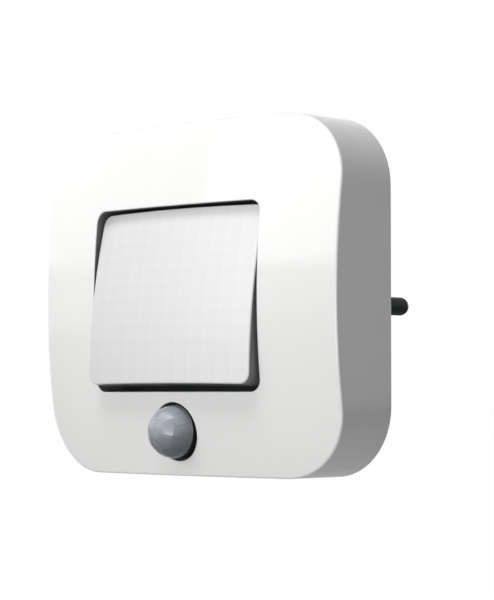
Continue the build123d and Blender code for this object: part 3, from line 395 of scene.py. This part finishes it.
# Welds sheets into one mesh: points in the same 10 nanometre cell become one, faces turn the way of their
# normals, and each face corner keeps its own sheet's normal. A sheet may name its finish. The odd offset keeps
# round lengths away from the cells' edges.
def weld(name, sheets, toFrame, finishes, lift=(0.0, 0.0, 0.0)):
    points, ways, faces, finish = [], [], [], []
    start = 0
    for sheet in sheets:
        place, facing = sheet[0], np.array(sheet[1])
        which = sheet[2] if len(sheet) > 2 else 0
        rows, columns = place.shape[:2]
        number = start + np.arange(rows * columns).reshape(rows, columns)
        quads = np.stack([number[:-1, :-1], number[:-1, 1:], number[1:, 1:], number[1:, :-1]], -1).reshape(-1, 4)
        flat, side = place.reshape(-1, 3), facing.reshape(-1, 3)
        a, b, c, d = (flat[quads[:, k] - start] for k in range(4))
        if (np.cross(c - a, d - b) * side[quads - start].sum(1)).sum() < 0:
            quads = quads[:, ::-1]
        points.append(flat)
        ways.append(side)
        faces.append(quads)
        finish.append(np.full(len(quads), which))
        start += rows * columns
    points = toFrame(np.concatenate(points)) + np.array(lift)
    ways = toFrame(np.concatenate(ways))
    faces, finish = np.concatenate(faces), np.concatenate(finish)
    if np.linalg.det(toFrame(np.eye(3))) < 0:
        faces = faces[:, ::-1]
    _, first, where = np.unique(np.round(points * 1e5 + 0.2371).astype(np.int64), axis=0,
                                return_index=True, return_inverse=True)
    where = where.ravel()
    welded = where[faces]
    same = welded == np.roll(welded, -1, 1)
    whole, pinched = same.sum(1) == 0, same.sum(1) == 1
    drop = np.argmax(same[pinched], 1)
    keep = (drop[:, None] + 1 + np.arange(3)) % 4
    corner = [faces[whole], np.take_along_axis(faces[pinched], keep, 1)]
    mesh = bpy.data.meshes.new(name)
    mesh.from_pydata((points[first] / 1000).tolist(), [], where[corner[0]].tolist() + where[corner[1]].tolist())
    mesh.polygons.foreach_set("use_smooth", np.ones(len(mesh.polygons), bool))
    mesh.polygons.foreach_set("material_index", np.concatenate([finish[whole], finish[pinched]]).astype(np.int32))
    mesh.normals_split_custom_set(ways[np.concatenate([c.ravel() for c in corner])].tolist())
    for paint in finishes:
        mesh.materials.append(paint)
    piece = bpy.data.objects.new(name, mesh)
    scene.collection.objects.link(piece)
    return piece


# The piece moves with a body, in place of nodes, which it hides.
def standFor(piece, body, *nodes):
    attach(piece, body)
    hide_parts(*nodes)


print("surface makers ready")

# front cover: forward sizes are measured from the plug's face. A boss is its place across and up, its radius,
# its hollow's radius and its end.
cover = dict(
    width=99.1, height=86.0, corner=17.0, wall=2.0, edgeRound=0.6, back=35.5,
    crown=60.6, upright=182.09, level=225.95,
    windowWidth=56.0, windowHeight=45.2, windowCorner=3.0, windowRound=0.25, collarWall=1.6, collarEnd=47.5,
    sensorDrop=32.26, sensorRadius=7.12, sensorRound=0.3, seatRadius=8.4, seatOuter=9.6, seatFront=54.9,
    seatBack=53.9,
    cornerBosses=(42.0, 30.0, 3.0, 1.54, 38.0), boardBosses=(33.45, 20.0, 2.6, 1.14, 47.2), screwDepth=7.0,
    bite=0.4,  # how far a boss or the seat runs into the wall
    sideSteps=32, cornerSteps=14, rimSteps=12, lipSteps=6, holeSteps=5, rings=20, patch=(10, 22),
)


# Dome land between the window and the outer edge, as rings that blend one outline into the other. A block of
# the rings below the window is left out, and rays from its border to the sensor hole fill it.
def coverLand(inner, outer, hole, c, inset):
    t = np.linspace(0, 1, c["rings"] + 1)[:, None, None]
    flat = inner[None] * (1 - t) + outer[None] * t
    first, last = c["patch"]
    border = np.concatenate([flat[0, first:last], flat[:-1, last], flat[-1, last:first:-1], flat[::-1, first]])
    seat = np.array([0.0, -c["sensorDrop"]])
    angle = np.arctan2(*(border - seat).T[::-1])
    rays = hole(angle)[None] * (1 - t) + border[None] * t
    return [domeAt(part, c, inset) for part in (flat[:, last:], flat[:, : first + 1], rays)], angle


# The dome's land with a round at its rim, at the window and at the sensor hole, and the side wall. The collar round
# the window and the hole's wall are painted dark grey, a painted shade for the gaps round the plate and the lens.
def coverShell(c, paints):
    size = dict(side=c["sideSteps"], turn=c["cornerSteps"])
    outer, outerWay = roundedOutline(c["width"], c["height"], c["corner"], **size)
    window, windowWay = roundedOutline(c["windowWidth"], c["windowHeight"], c["windowCorner"], **size)
    seat = np.array([0.0, -c["sensorDrop"]])
    sheets = []
    rim, rimWay = edgeRound(outer, outerWay, c["edgeRound"], c, c["rimSteps"])
    lip, lipWay = edgeRound(window, -windowWay, c["windowRound"], c, c["lipSteps"])

    def holeEdge(angle):
        return seat + c["sensorRadius"] * np.stack([np.cos(angle), np.sin(angle)], -1)

    def holeLip(angle):
        way = np.stack([np.cos(angle), np.sin(angle)], -1)
        return edgeRound(holeEdge(angle), -way, c["sensorRound"], c, c["holeSteps"])

    land, angle = coverLand(lip[0][:, :2], rim[0][:, :2], lambda a: holeLip(a)[0][0][:, :2], c, 0.0)
    hole, holeWay = holeLip(angle)
    sheets += land + [(rim, rimWay), (lip, lipWay), (hole, holeWay)]
    sheets.append(wallTo(rim[-1], outerWay, c["back"], 6))
    sheets.append((*wallTo(lip[-1], -windowWay, c["collarEnd"], 2), 1))

    # inside: the dome again, a wall's thickness in, with the collar's outer face and the cover's inner walls
    inner, innerWay = roundedOutline(c["width"] - 2 * c["wall"], c["height"] - 2 * c["wall"],
                                     c["corner"] - c["wall"], **size)
    ring, ringWay = roundedOutline(c["windowWidth"] + 2 * c["collarWall"], c["windowHeight"] + 2 * c["collarWall"],
                                   c["windowCorner"] + c["collarWall"], **size)
    back, _ = coverLand(ring, inner, holeEdge, c, c["wall"])
    sheets += [(place, -facing) for place, facing in back]
    way = np.stack([np.cos(angle), np.sin(angle)], -1)
    holeBack, _ = domeAt(holeEdge(angle), c, c["wall"])
    sheets.append((np.stack([hole[-1], holeBack]), np.repeat(np.column_stack([-way, 0 * angle])[None], 2, 0), 1))
    innerTop, _ = domeAt(inner, c, c["wall"])
    ringTop, _ = domeAt(ring, c, c["wall"])
    sheets.append(wallTo(innerTop, -innerWay, c["back"], 4))
    sheets.append(wallTo(ringTop, ringWay, c["collarEnd"], 2))
    sheets.append(landBetween(outer, inner, c["back"], -1.0))
    sheets.append(landBetween(window, ring, c["collarEnd"], -1.0))

    # the lens's seat: its bore and its outside both end in the dome's wall
    rings = [seat + radius * way for radius in (c["sensorRadius"], c["seatRadius"], c["seatOuter"])]
    outside, _ = domeAt(rings[2], c, c["wall"] - c["bite"])
    step = np.column_stack([rings[1], np.full(len(way), c["seatFront"])])
    sheets += [(*wallTo(holeBack, -way, c["seatFront"]), 1), landBetween(rings[0], rings[1], c["seatFront"], -1.0),
               wallTo(step, -way, c["seatBack"]), landBetween(rings[1], rings[2], c["seatBack"], -1.0),
               wallTo(outside, way, c["seatBack"])]

    # four screw bosses of each kind, each a turned tube from its end to inside the wall
    for x, z, radius, hollow, end in (c["cornerBosses"], c["boardBosses"]):
        top = float(domeAt(np.array([x, z]), c, c["wall"] - c["bite"])[0][2])
        floor = end + c["screwDepth"]
        profile = [(0.0, floor, 0), (hollow, floor, 0), (hollow, end, 0.15), (radius, end, 0.2), (radius, top, 0),
                   (0.0, top, 0)]
        sheets += [turned(profile, (sx * x, sz * z), 24, 3) for sx, sz in ((1, 1), (-1, 1), (-1, -1), (1, -1))]
    return weld("coverShell", sheets, onCover, paints)


coverPaints = [
    mouldedPlastic("coverGloss", (0.93, 0.93, 0.92), gloss=0.1, grain=0.0012, depth=0.0000004, mottle=0.008),
    # painted shade: dark grey for the collar and the hole's wall
    mouldedPlastic("shadeGrey", (0.17, 0.173, 0.175), gloss=0.4, grain=0.0005, depth=0.000006, mottle=0.08),
]
standFor(coverShell(cover, coverPaints), "housing", "front_cover")
print("front cover built")

# light plate: it leans with the rocker, and its forward sizes are measured from its pins' line. The front is a
# dome drawn in flat cells, so it holds a faint grid.
plate = dict(
    width=54.68, height=42.86, corner=2.6, edgeRound=0.4,
    crown=6.9, upright=164.716, level=187.869,
    skirtBack=-1.5, skirtWall=1.5, plateWall=1.6,
    cells=(12, 12), cellSteps=4, cellFlatness=1.5, margin=1.0,
    cornerSteps=8, rimSteps=8, borderRows=3, backRows=8,
)
opal = dict(  # its material, in metres
    colour=(0.845, 0.845, 0.845), fade=0.862, fadeFrom=-3.2, fadeTo=5.5,
    # chance sets each cell's random tone; the per-column step paints the columns lighter to the right, a painted
    # light
    cellWidth=0.00439, cellHeight=0.003405, chance=0.2, paintedLightPerColumn=-0.65,
    gloss=(0.31, 0.33), grain=0.00025, sheer=0.1,
)


# Each cell is the bilinear patch between the dome's points at its four corners, mixed with the dome itself by
# flatness x patch + (1 - flatness) x dome.
def cellLand(p):
    (across, up), k = p["cells"], p["cellSteps"]
    xs = np.linspace(-1, 1, across + 1) * (p["width"] / 2 - p["margin"])
    zs = np.linspace(-1, 1, up + 1) * (p["height"] / 2 - p["margin"])
    column, s = np.repeat(np.arange(across), k + 1), np.tile(np.linspace(0, 1, k + 1), across)
    row, t = np.repeat(np.arange(up), k + 1), np.tile(np.linspace(0, 1, k + 1), up)
    knots, _ = domeAt(np.stack(np.meshgrid(xs, zs), -1), p)
    s, t = s[None, :, None], t[:, None, None]
    a, b = knots[row][:, column], knots[row][:, column + 1]
    c, d = knots[row + 1][:, column], knots[row + 1][:, column + 1]
    flatCell = (a * (1 - s) + b * s) * (1 - t) + (c * (1 - s) + d * s) * t
    cellWay = np.cross((b - a) * (1 - t) + (d - c) * t, (c - a) * (1 - s) + (d - b) * s)
    cellWay /= np.linalg.norm(cellWay, axis=-1, keepdims=True)
    smooth, smoothWay = domeAt(flatCell[..., :2], p)
    share = p["cellFlatness"]
    way = share * cellWay + (1 - share) * smoothWay
    return share * flatCell + (1 - share) * smooth, way / np.linalg.norm(way, axis=-1, keepdims=True)


# The cells, a plain border, the round and the skirts, then the hollow behind: the dome again, a wall in. The skirts
# and the hollow are painted dark grey, a painted shade.
def lightPlate(p, paints):
    cell = cellLand(p)
    size = dict(side=p["cells"][0] * p["cellSteps"], turn=p["cornerSteps"])
    outline, way = roundedOutline(p["width"], p["height"], p["corner"], **size)
    core, _ = roundedOutline(p["width"] - 2 * p["margin"], p["height"] - 2 * p["margin"], 0.0, **size)
    rim, rimWay = edgeRound(outline, way, p["edgeRound"], p, p["rimSteps"])
    t = np.linspace(0, 1, p["borderRows"] + 1)[:, None, None]
    border = domeAt(core[None] * (1 - t) + rim[0][None, :, :2] * t, p)
    # the border's inner row lies on the cells' outer edge
    column = np.interp(core[:, 0], cell[0][0, :, 0], np.arange(cell[0].shape[1]))
    row = np.interp(core[:, 1], cell[0][:, 0, 1], np.arange(cell[0].shape[0]))
    border[0][0] = cell[0][np.rint(row).astype(int), np.rint(column).astype(int)]
    inner, innerWay = roundedOutline(p["width"] - 2 * p["skirtWall"], p["height"] - 2 * p["skirtWall"],
                                     p["corner"] - p["skirtWall"], **size)
    back, backWay = domeAt(inner[None] * np.linspace(0, 1, p["backRows"] + 1)[:, None, None], p, p["plateWall"])
    sheets = [cell, border, (rim, rimWay), (*wallTo(rim[-1], way, p["skirtBack"], 3), 1), (back, -backWay, 1),
              (*wallTo(back[-1], -innerWay, p["skirtBack"], 2), 1),
              (*landBetween(outline, inner, p["skirtBack"], -1.0), 1)]
    return weld("lightPlate", sheets, onRocker, paints, lift=(0, -rockerPivot, 0))


# opal acrylic: a little light goes into it. Each cell is painted a little darker upwards and to the right, a painted
# facet shade that steps at the cells' edges. Each cell has a random tone, and the columns are painted lighter to the
# right, a painted light: fade = across the cell + up the cell + chance x random + the per-column step x column.
def opalPlastic(name, o, turn):
    made, tree, skin = newMaterial(name)
    place = objectPlace(tree, (1 / o["cellWidth"], 1.0, 1 / o["cellHeight"]), (turn, 0, 0))
    cell = node(tree, "VectorMath", {0: place}, operation="FLOOR")
    flat = node(tree, "VectorMath", {0: cell.outputs[0], 1: (1.0, 0.0, 1.0)}, operation="MULTIPLY")
    random = node(tree, "TexWhiteNoise", {"Vector": flat.outputs[0]}, noise_dimensions="3D")
    rest = node(tree, "VectorMath", {0: place}, operation="FRACTION")
    inCell = node(tree, "SeparateXYZ", {0: rest.outputs[0]})
    # painted facet shade: each cell darker upwards and to the right
    both = node(tree, "Math", {0: inCell.outputs["X"], 1: inCell.outputs["Z"]}, operation="ADD")
    tone = node(tree, "Math", {0: random.outputs["Value"], 1: o["chance"], 2: both.outputs[0]},
                operation="MULTIPLY_ADD")
    # painted light: each column lighter to the right
    column = node(tree, "SeparateXYZ", {0: cell.outputs[0]})
    toneAndPaintedLight = node(tree, "Math", {0: column.outputs["X"], 1: o["paintedLightPerColumn"], 2: tone.outputs[0]},
                 operation="MULTIPLY_ADD")
    faded = tuple(c * o["fade"] for c in o["colour"])
    tree.links.new(shades(tree, toneAndPaintedLight.outputs[0], o["colour"], faded, o["fadeFrom"], o["fadeTo"]),
                   skin.inputs["Base Color"])
    fine = node(tree, "TexNoise", {"Vector": objectPlace(tree), "Scale": 1.0 / o["grain"], "Detail": 1.0})
    tree.links.new(span(tree, fine.outputs[0], *o["gloss"], 0.3, 0.7), skin.inputs["Roughness"])
    skin.inputs["Subsurface Weight"].default_value = o["sheer"]
    skin.inputs["Subsurface Radius"].default_value = (1.0, 0.98, 0.95)
    skin.inputs["Subsurface Scale"].default_value = 0.0008
    return made


platePaints = [
    opalPlastic("opalPlate", opal, rockerTilt),
    # painted shade: dark grey for the plate's skirts and hollow
    mouldedPlastic("skirtPaintedShade", (0.17, 0.173, 0.175), gloss=0.35, grain=0.0004, depth=0.000005, mottle=0.06),
]
standFor(lightPlate(plate, platePaints), "rocker", "rocker_lens")
print("light plate built")

# motion sensor's lens: a hemisphere of small flat lenses on a neck and a flange, which the cover's seat holds
lens = dict(
    drop=32.26, centre=57.95, radius=6.5, wall=0.7, neck=6.3, seat=54.9, flange=8.2, flangeBack=53.9,
    rows=((0, 1, 0), (34, 6, 12), (63, 11, 0), (90, 15, 7)),  # tilt, how many, start, in degrees
    flatness=0.5, cellReach=18.5, groove=0.07, grooveWidth=0.045, footFade=0.06, footLap=0.2,
    tiltSteps=80, aroundSteps=192, insideSteps=(24, 64), neckSteps=96,
)
milk = dict(  # its material, in metres
    # dark, foot, top and the per-depth step set a painted shade, darker to the foot and round the rim; dark also
    # colours the seams
    colour=(0.41, 0.45, 0.5), dark=0.25, front=-0.06445, paintedShadePerDepth=-0.7, foot=-0.0395, top=-0.03,
    cloud=120.0, cloudDrift=0.0012, seamTo=0.4, ripple=900.0, rippleDepth=0.0000006, gloss=(0.24, 0.32),
    specular=0.7, clear=0.12,
)


# Angle from each direction to the nearest centre of a lens, and how much it is on an edge between two lenses:
# exp(-((second nearest - nearest) / width)^2)
def lensCells(ways, f):
    centres = []
    for tilt, count, start in f["rows"]:
        turn, tilt = np.radians(start + np.arange(count) * 360.0 / count), math.radians(tilt)
        centres.append(np.column_stack([math.sin(tilt) * np.cos(turn), math.sin(tilt) * np.sin(turn),
                                        np.full(count, math.cos(tilt))]))
    angle = np.sort(np.arccos(np.clip(ways @ np.concatenate(centres).T, -1, 1)), -1)
    return angle[..., 0], np.exp(-(((angle[..., 1] - angle[..., 0]) / f["grooveWidth"]) ** 2))


# Radius of the faceted dome: a flat lens lies at radius x cos(reach) / cos(angle to its centre), mixed with the
# sphere, less a fine groove along the edges.
def facetedRadius(ways, f):
    nearest, edge = lensCells(ways, f)
    reach = math.radians(f["cellReach"])
    flat = np.minimum(f["radius"] * math.cos(reach) / np.cos(np.minimum(nearest, reach)), f["radius"])
    return f["radius"] - f["flatness"] * (f["radius"] - flat) - f["groove"] * edge


# Directions of half a ball, from its top (forward) to its rim
def halfBall(tilts, around):
    tilt, angle = np.meshgrid(np.linspace(0, math.pi / 2, tilts + 1), np.linspace(0, 2 * math.pi, around + 1),
                              indexing="ij")
    return np.stack([np.sin(tilt) * np.cos(angle), np.sin(tilt) * np.sin(angle), np.cos(tilt)], -1)


# The dome's facets fade into a plain sphere at its foot, where the turned neck and flange join it. Its normals
# come from the differences between neighbouring points, and each point keeps how much it is on a seam.
def lensDome(f, paints):
    centre = np.array([0.0, -f["drop"], f["centre"]])
    ways = halfBall(f["tiltSteps"], f["aroundSteps"])
    ways[:, -1] = ways[:, 0]
    fade = np.clip(ways[..., 2] / f["footFade"], 0, 1)
    radius = f["radius"] - (f["radius"] - facetedRadius(ways, f)) * fade
    skin = radius[..., None] * ways
    wrapped = np.concatenate([skin[:, -2:-1], skin, skin[:, 1:2]], 1)
    side = np.cross(np.gradient(skin, axis=0), np.gradient(wrapped, axis=1)[:, 1:-1])
    length = np.linalg.norm(side, axis=-1, keepdims=True)
    side = np.where(length > 1e-6, side / np.maximum(length, 1e-9), ways)
    side[0] = (0, 0, 1)
    hollow = halfBall(*f["insideSteps"])
    inside = f["radius"] - f["wall"]
    neck = turned([(inside, f["centre"], 0), (inside, f["flangeBack"], 0.1), (f["flange"], f["flangeBack"], 0.15),
                   (f["flange"], f["seat"], 0.15), (f["neck"], f["seat"], 0.1),
                   (f["neck"], f["centre"] - f["footLap"], 0), (f["radius"], f["centre"], 0)],
                  centre[:2], f["neckSteps"])
    # the neck, the flange and the hollow inside take the second finish, painted near black as shade in the gap round
    # the dome
    sheets = [(centre + skin, side), (*neck, 1), (centre + inside * hollow, -hollow, 1)]
    dome = weld("lensDome", sheets, onCover, paints)
    spots = np.empty(len(dome.data.vertices) * 3)
    dome.data.vertices.foreach_get("co", spots)
    spots = 1000 * spots.reshape(-1, 3)[:, [0, 2, 1]] * (1, 1, -1) - centre
    _, edge = lensCells(spots / np.linalg.norm(spots, axis=1, keepdims=True), f)
    dome.data.attributes.new("cellEdge", "FLOAT", "POINT").data.foreach_set("value", edge.astype(np.float32))
    return dome


# milky polyethylene: grey-blue and part see-through, with dark seams and a soft sheen. Its colour is painted darker
# to the foot and round the rim, a painted shade: tone = height + cloudDrift x cloud + the per-depth step x depth
# behind the dome's front.
def lensPlastic(name, m):
    made, tree, skin = newMaterial(name)
    place = objectPlace(tree)
    cloud = node(tree, "TexNoise", {"Vector": place, "Scale": m["cloud"], "Detail": 2.0})
    axes = node(tree, "SeparateXYZ", {0: place})
    paintedShadeByHeight = node(tree, "Math", {0: cloud.outputs[0], 1: m["cloudDrift"], 2: axes.outputs["Z"]},
                operation="MULTIPLY_ADD")
    # painted shade: darker the further behind the dome's front
    depth = node(tree, "Math", {0: axes.outputs["Y"], 1: m["front"]}, operation="SUBTRACT")
    tone = node(tree, "Math", {0: depth.outputs[0], 1: m["paintedShadePerDepth"], 2: paintedShadeByHeight.outputs[0]}, operation="MULTIPLY_ADD")
    # dark is the painted shade's darkest colour and also the seams' colour
    dark = tuple(c * m["dark"] for c in m["colour"])
    body = shades(tree, tone.outputs[0], dark, m["colour"], m["foot"], m["top"])
    edge = node(tree, "Attribute", attribute_name="cellEdge", attribute_type="GEOMETRY")
    seam = node(tree, "Mix", {"Factor": span(tree, edge.outputs["Fac"], 0.0, m["seamTo"])}, data_type="RGBA")
    tree.links.new(body, seam.inputs["A"])
    seam.inputs["B"].default_value = rgb(dark)
    tree.links.new(seam.outputs["Result"], skin.inputs["Base Color"])
    ripple = node(tree, "TexNoise", {"Vector": place, "Scale": m["ripple"], "Detail": 1.0})
    bump = node(tree, "Bump", {"Height": ripple.outputs[0], "Strength": 1.0, "Distance": m["rippleDepth"]})
    tree.links.new(bump.outputs[0], skin.inputs["Normal"])
    tree.links.new(span(tree, ripple.outputs[0], *m["gloss"], 0.3, 0.7), skin.inputs["Roughness"])
    skin.inputs["Specular IOR Level"].default_value = m["specular"]
    skin.inputs["Transmission Weight"].default_value = m["clear"]
    skin.inputs["IOR"].default_value = 1.5
    return made


lensPaints = [
    lensPlastic("milkyLens", milk),
    # painted shade: near black for the neck, the flange and the hollow inside
    mouldedPlastic("lensNeckPaintedShade", (0.02, 0.021, 0.022), gloss=0.5, grain=0.0003, depth=0.000005, mottle=0.1,
                   specular=0.3),
]
standFor(lensDome(lens, lensPaints), "housing", "sensor_lens")
print("sensor lens built")

# plug pins: a round end, a shoulder in the plug's face, a collar and a tail inside
pin = dict(
    spread=9.5, radius=2.4, length=19.0, shoulder=2.6, face=4.0, collar=3.5, collarFront=5.5, tail=1.4,
    tailEnd=10.5, aroundSteps=64, roundSteps=14,
)


# Turned profile from the round end, whose corner radius is the pin's own, forward to the tail
def plugPin(name, side, p, paint):
    profile = [(0.0, -p["length"], 0), (p["radius"], -p["length"], p["radius"]), (p["radius"], 0.0, 0),
               (p["shoulder"], 0.0, 0), (p["shoulder"], p["face"], 0), (p["collar"], p["face"], 0.15),
               (p["collar"], p["collarFront"], 0.2), (p["tail"], p["collarFront"], 0.1),
               (p["tail"], p["tailEnd"], 0.3), (0.0, p["tailEnd"], 0)]
    sheet = turned(profile, (side * p["spread"], 0.0), p["aroundSteps"], p["roundSteps"])
    return weld(name, [sheet], onCover, [paint])


darkNickel = streakedMetal("darkNickel", (0.014, 0.016, 0.018), gloss=0.5, pitch=0.0005, depth=0.000006,
                           metallic=0.1, specular=0.12)
standFor(plugPin("linePin", 1, pin, darkNickel), "housing", "plug_pin_line")
standFor(plugPin("neutralPin", -1, pin, darkNickel), "housing", "plug_pin_neutral")
print("plug pins built")

# finishes of the model's own nodes
zinc = streakedMetal("zincPlate", (0.62, 0.62, 0.62), gloss=0.32, pitch=0.0002)
steel = streakedMetal("groundSteel", (0.7, 0.7, 0.7), gloss=0.25, along=(1, 0, 0), pitch=0.0002)
nickel = streakedMetal("nickelPlate", (0.7, 0.69, 0.66), gloss=0.2, pitch=0.0004)
tin = streakedMetal("tinPlate", (0.75, 0.74, 0.7), gloss=0.3, pitch=0.0002)
gold = streakedMetal("goldFlash", (0.8, 0.66, 0.36), gloss=0.25, pitch=0.0002)
blackMoulding = mouldedPlastic("blackMoulding", (0.05, 0.05, 0.052), gloss=0.5, grain=0.0002, mottle=0.12)
nodePaints = dict(
    rear_housing=mouldedPlastic("texturedWhite", (0.9, 0.9, 0.89), gloss=0.5, grain=0.00035, mottle=0.015),
    plug_body=mouldedPlastic("satinWhite", (0.9, 0.9, 0.89), gloss=0.36, grain=0.0005, depth=0.000008, mottle=0.015),
    pin_retainer=mouldedPlastic("retainerCream", (0.85, 0.85, 0.83), gloss=0.42, grain=0.0004),
    retainer_screws=zinc, flange_screws=zinc, cover_screws=zinc, board_screws=zinc, power_board_screws=zinc,
    # the reflector's border is painted near black, a painted shade where the gaps round the plate look in
    reflector=shadeBorderedPlastic("reflectorWhite", (0.92, 0.92, 0.92), (0.015, 0.015, 0.015), 0.0252, 0.0195),
    main_board=boardLaminate("greenBoard", (0.03, 0.16, 0.07), (0.08, 0.3, 0.12)),
    led_packages=mouldedPlastic("ledCeramic", (0.92, 0.92, 0.9), gloss=0.25, grain=0.0003),
    led_phosphors=mouldedPlastic("ledPhosphor", (0.95, 0.78, 0.16), grain=0.0001, depth=0.00001, mottle=0.1),
    daylight_sensor=mouldedPlastic("darkEpoxy", (0.03, 0.03, 0.035), gloss=0.12, depth=0.000002, coat=0.4),
    switch_body=mouldedPlastic("switchBlack", (0.06, 0.06, 0.06), gloss=0.4, grain=0.0003, mottle=0.1),
    switch_knob=mouldedPlastic("knobBlack", (0.045, 0.045, 0.045), gloss=0.35, grain=0.0002, mottle=0.1),
    switch_terminals=tin,
    sensor_can=nickel,
    sensor_window=mouldedPlastic("filterGlass", (0.05, 0.045, 0.06), gloss=0.08, grain=0.0008, depth=0.000001,
                                 coat=0.6),
    sensor_leads=gold,
    sensor_holder=mouldedPlastic("holderBlack", (0.02, 0.02, 0.021), gloss=0.55, grain=0.0003, mottle=0.15),
    controller=blackMoulding,
    controller_leads=tin,
    chip_resistors=mouldedPlastic("resistorGlaze", (0.05, 0.05, 0.055), gloss=0.25, grain=0.0002, mottle=0.2),
    chip_capacitors=mouldedPlastic("capacitorCeramic", (0.42, 0.3, 0.18), gloss=0.45, grain=0.0002, mottle=0.12),
    header_base=blackMoulding,
    header_pins=gold,
    header_socket=blackMoulding,
    power_board=boardLaminate("phenolicBoard", (0.42, 0.28, 0.11), (0.5, 0.36, 0.18), pitch=0.002, gloss=0.5),
    film_capacitor=mouldedPlastic("filmYellow", (0.78, 0.56, 0.06), gloss=0.22, grain=0.0006, mottle=0.05, coat=0.2),
    electrolytic_capacitor=mouldedPlastic("sleeveBlue", (0.02, 0.03, 0.08), gloss=0.3, grain=0.0005, mottle=0.1,
                                          coat=0.3),
    inductor=mouldedPlastic("ferriteGrey", (0.09, 0.09, 0.092), gloss=0.6, grain=0.0003, depth=0.00003, mottle=0.2),
    inductor_winding=woundWire("enamelCopper", (0.72, 0.3, 0.1)),
    bridge_rectifier=mouldedPlastic("rectifierBlack", (0.04, 0.04, 0.042), gloss=0.5, grain=0.00025, mottle=0.12),
    fuse_resistor=mouldedPlastic("fuseLacquer", (0.16, 0.3, 0.36), gloss=0.35, grain=0.0004, mottle=0.1),
    varistor=mouldedPlastic("varistorEpoxy", (0.04, 0.14, 0.5), gloss=0.2, grain=0.0008, depth=0.00003, mottle=0.08,
                            coat=0.2),
    line_wire=mouldedPlastic("brownWire", (0.2, 0.08, 0.035), gloss=0.4, grain=0.0005, mottle=0.06),
    neutral_wire=mouldedPlastic("blueWire", (0.03, 0.14, 0.42), gloss=0.4, grain=0.0005, mottle=0.06),
    diffuser_sheet=mouldedPlastic("diffuserClear", (0.88, 0.9, 0.92), grain=0.0006, sheer=0.2),
    rocker_fork=mouldedPlastic("forkCream", (0.85, 0.85, 0.83), gloss=0.42, grain=0.0004),
    pivot_pin_left=steel, pivot_pin_right=steel,
)
for name, paint in nodePaints.items():
    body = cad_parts[name].data
    body.materials.clear()
    body.materials.append(paint)
print("finishes set on", len(nodePaints), "nodes")
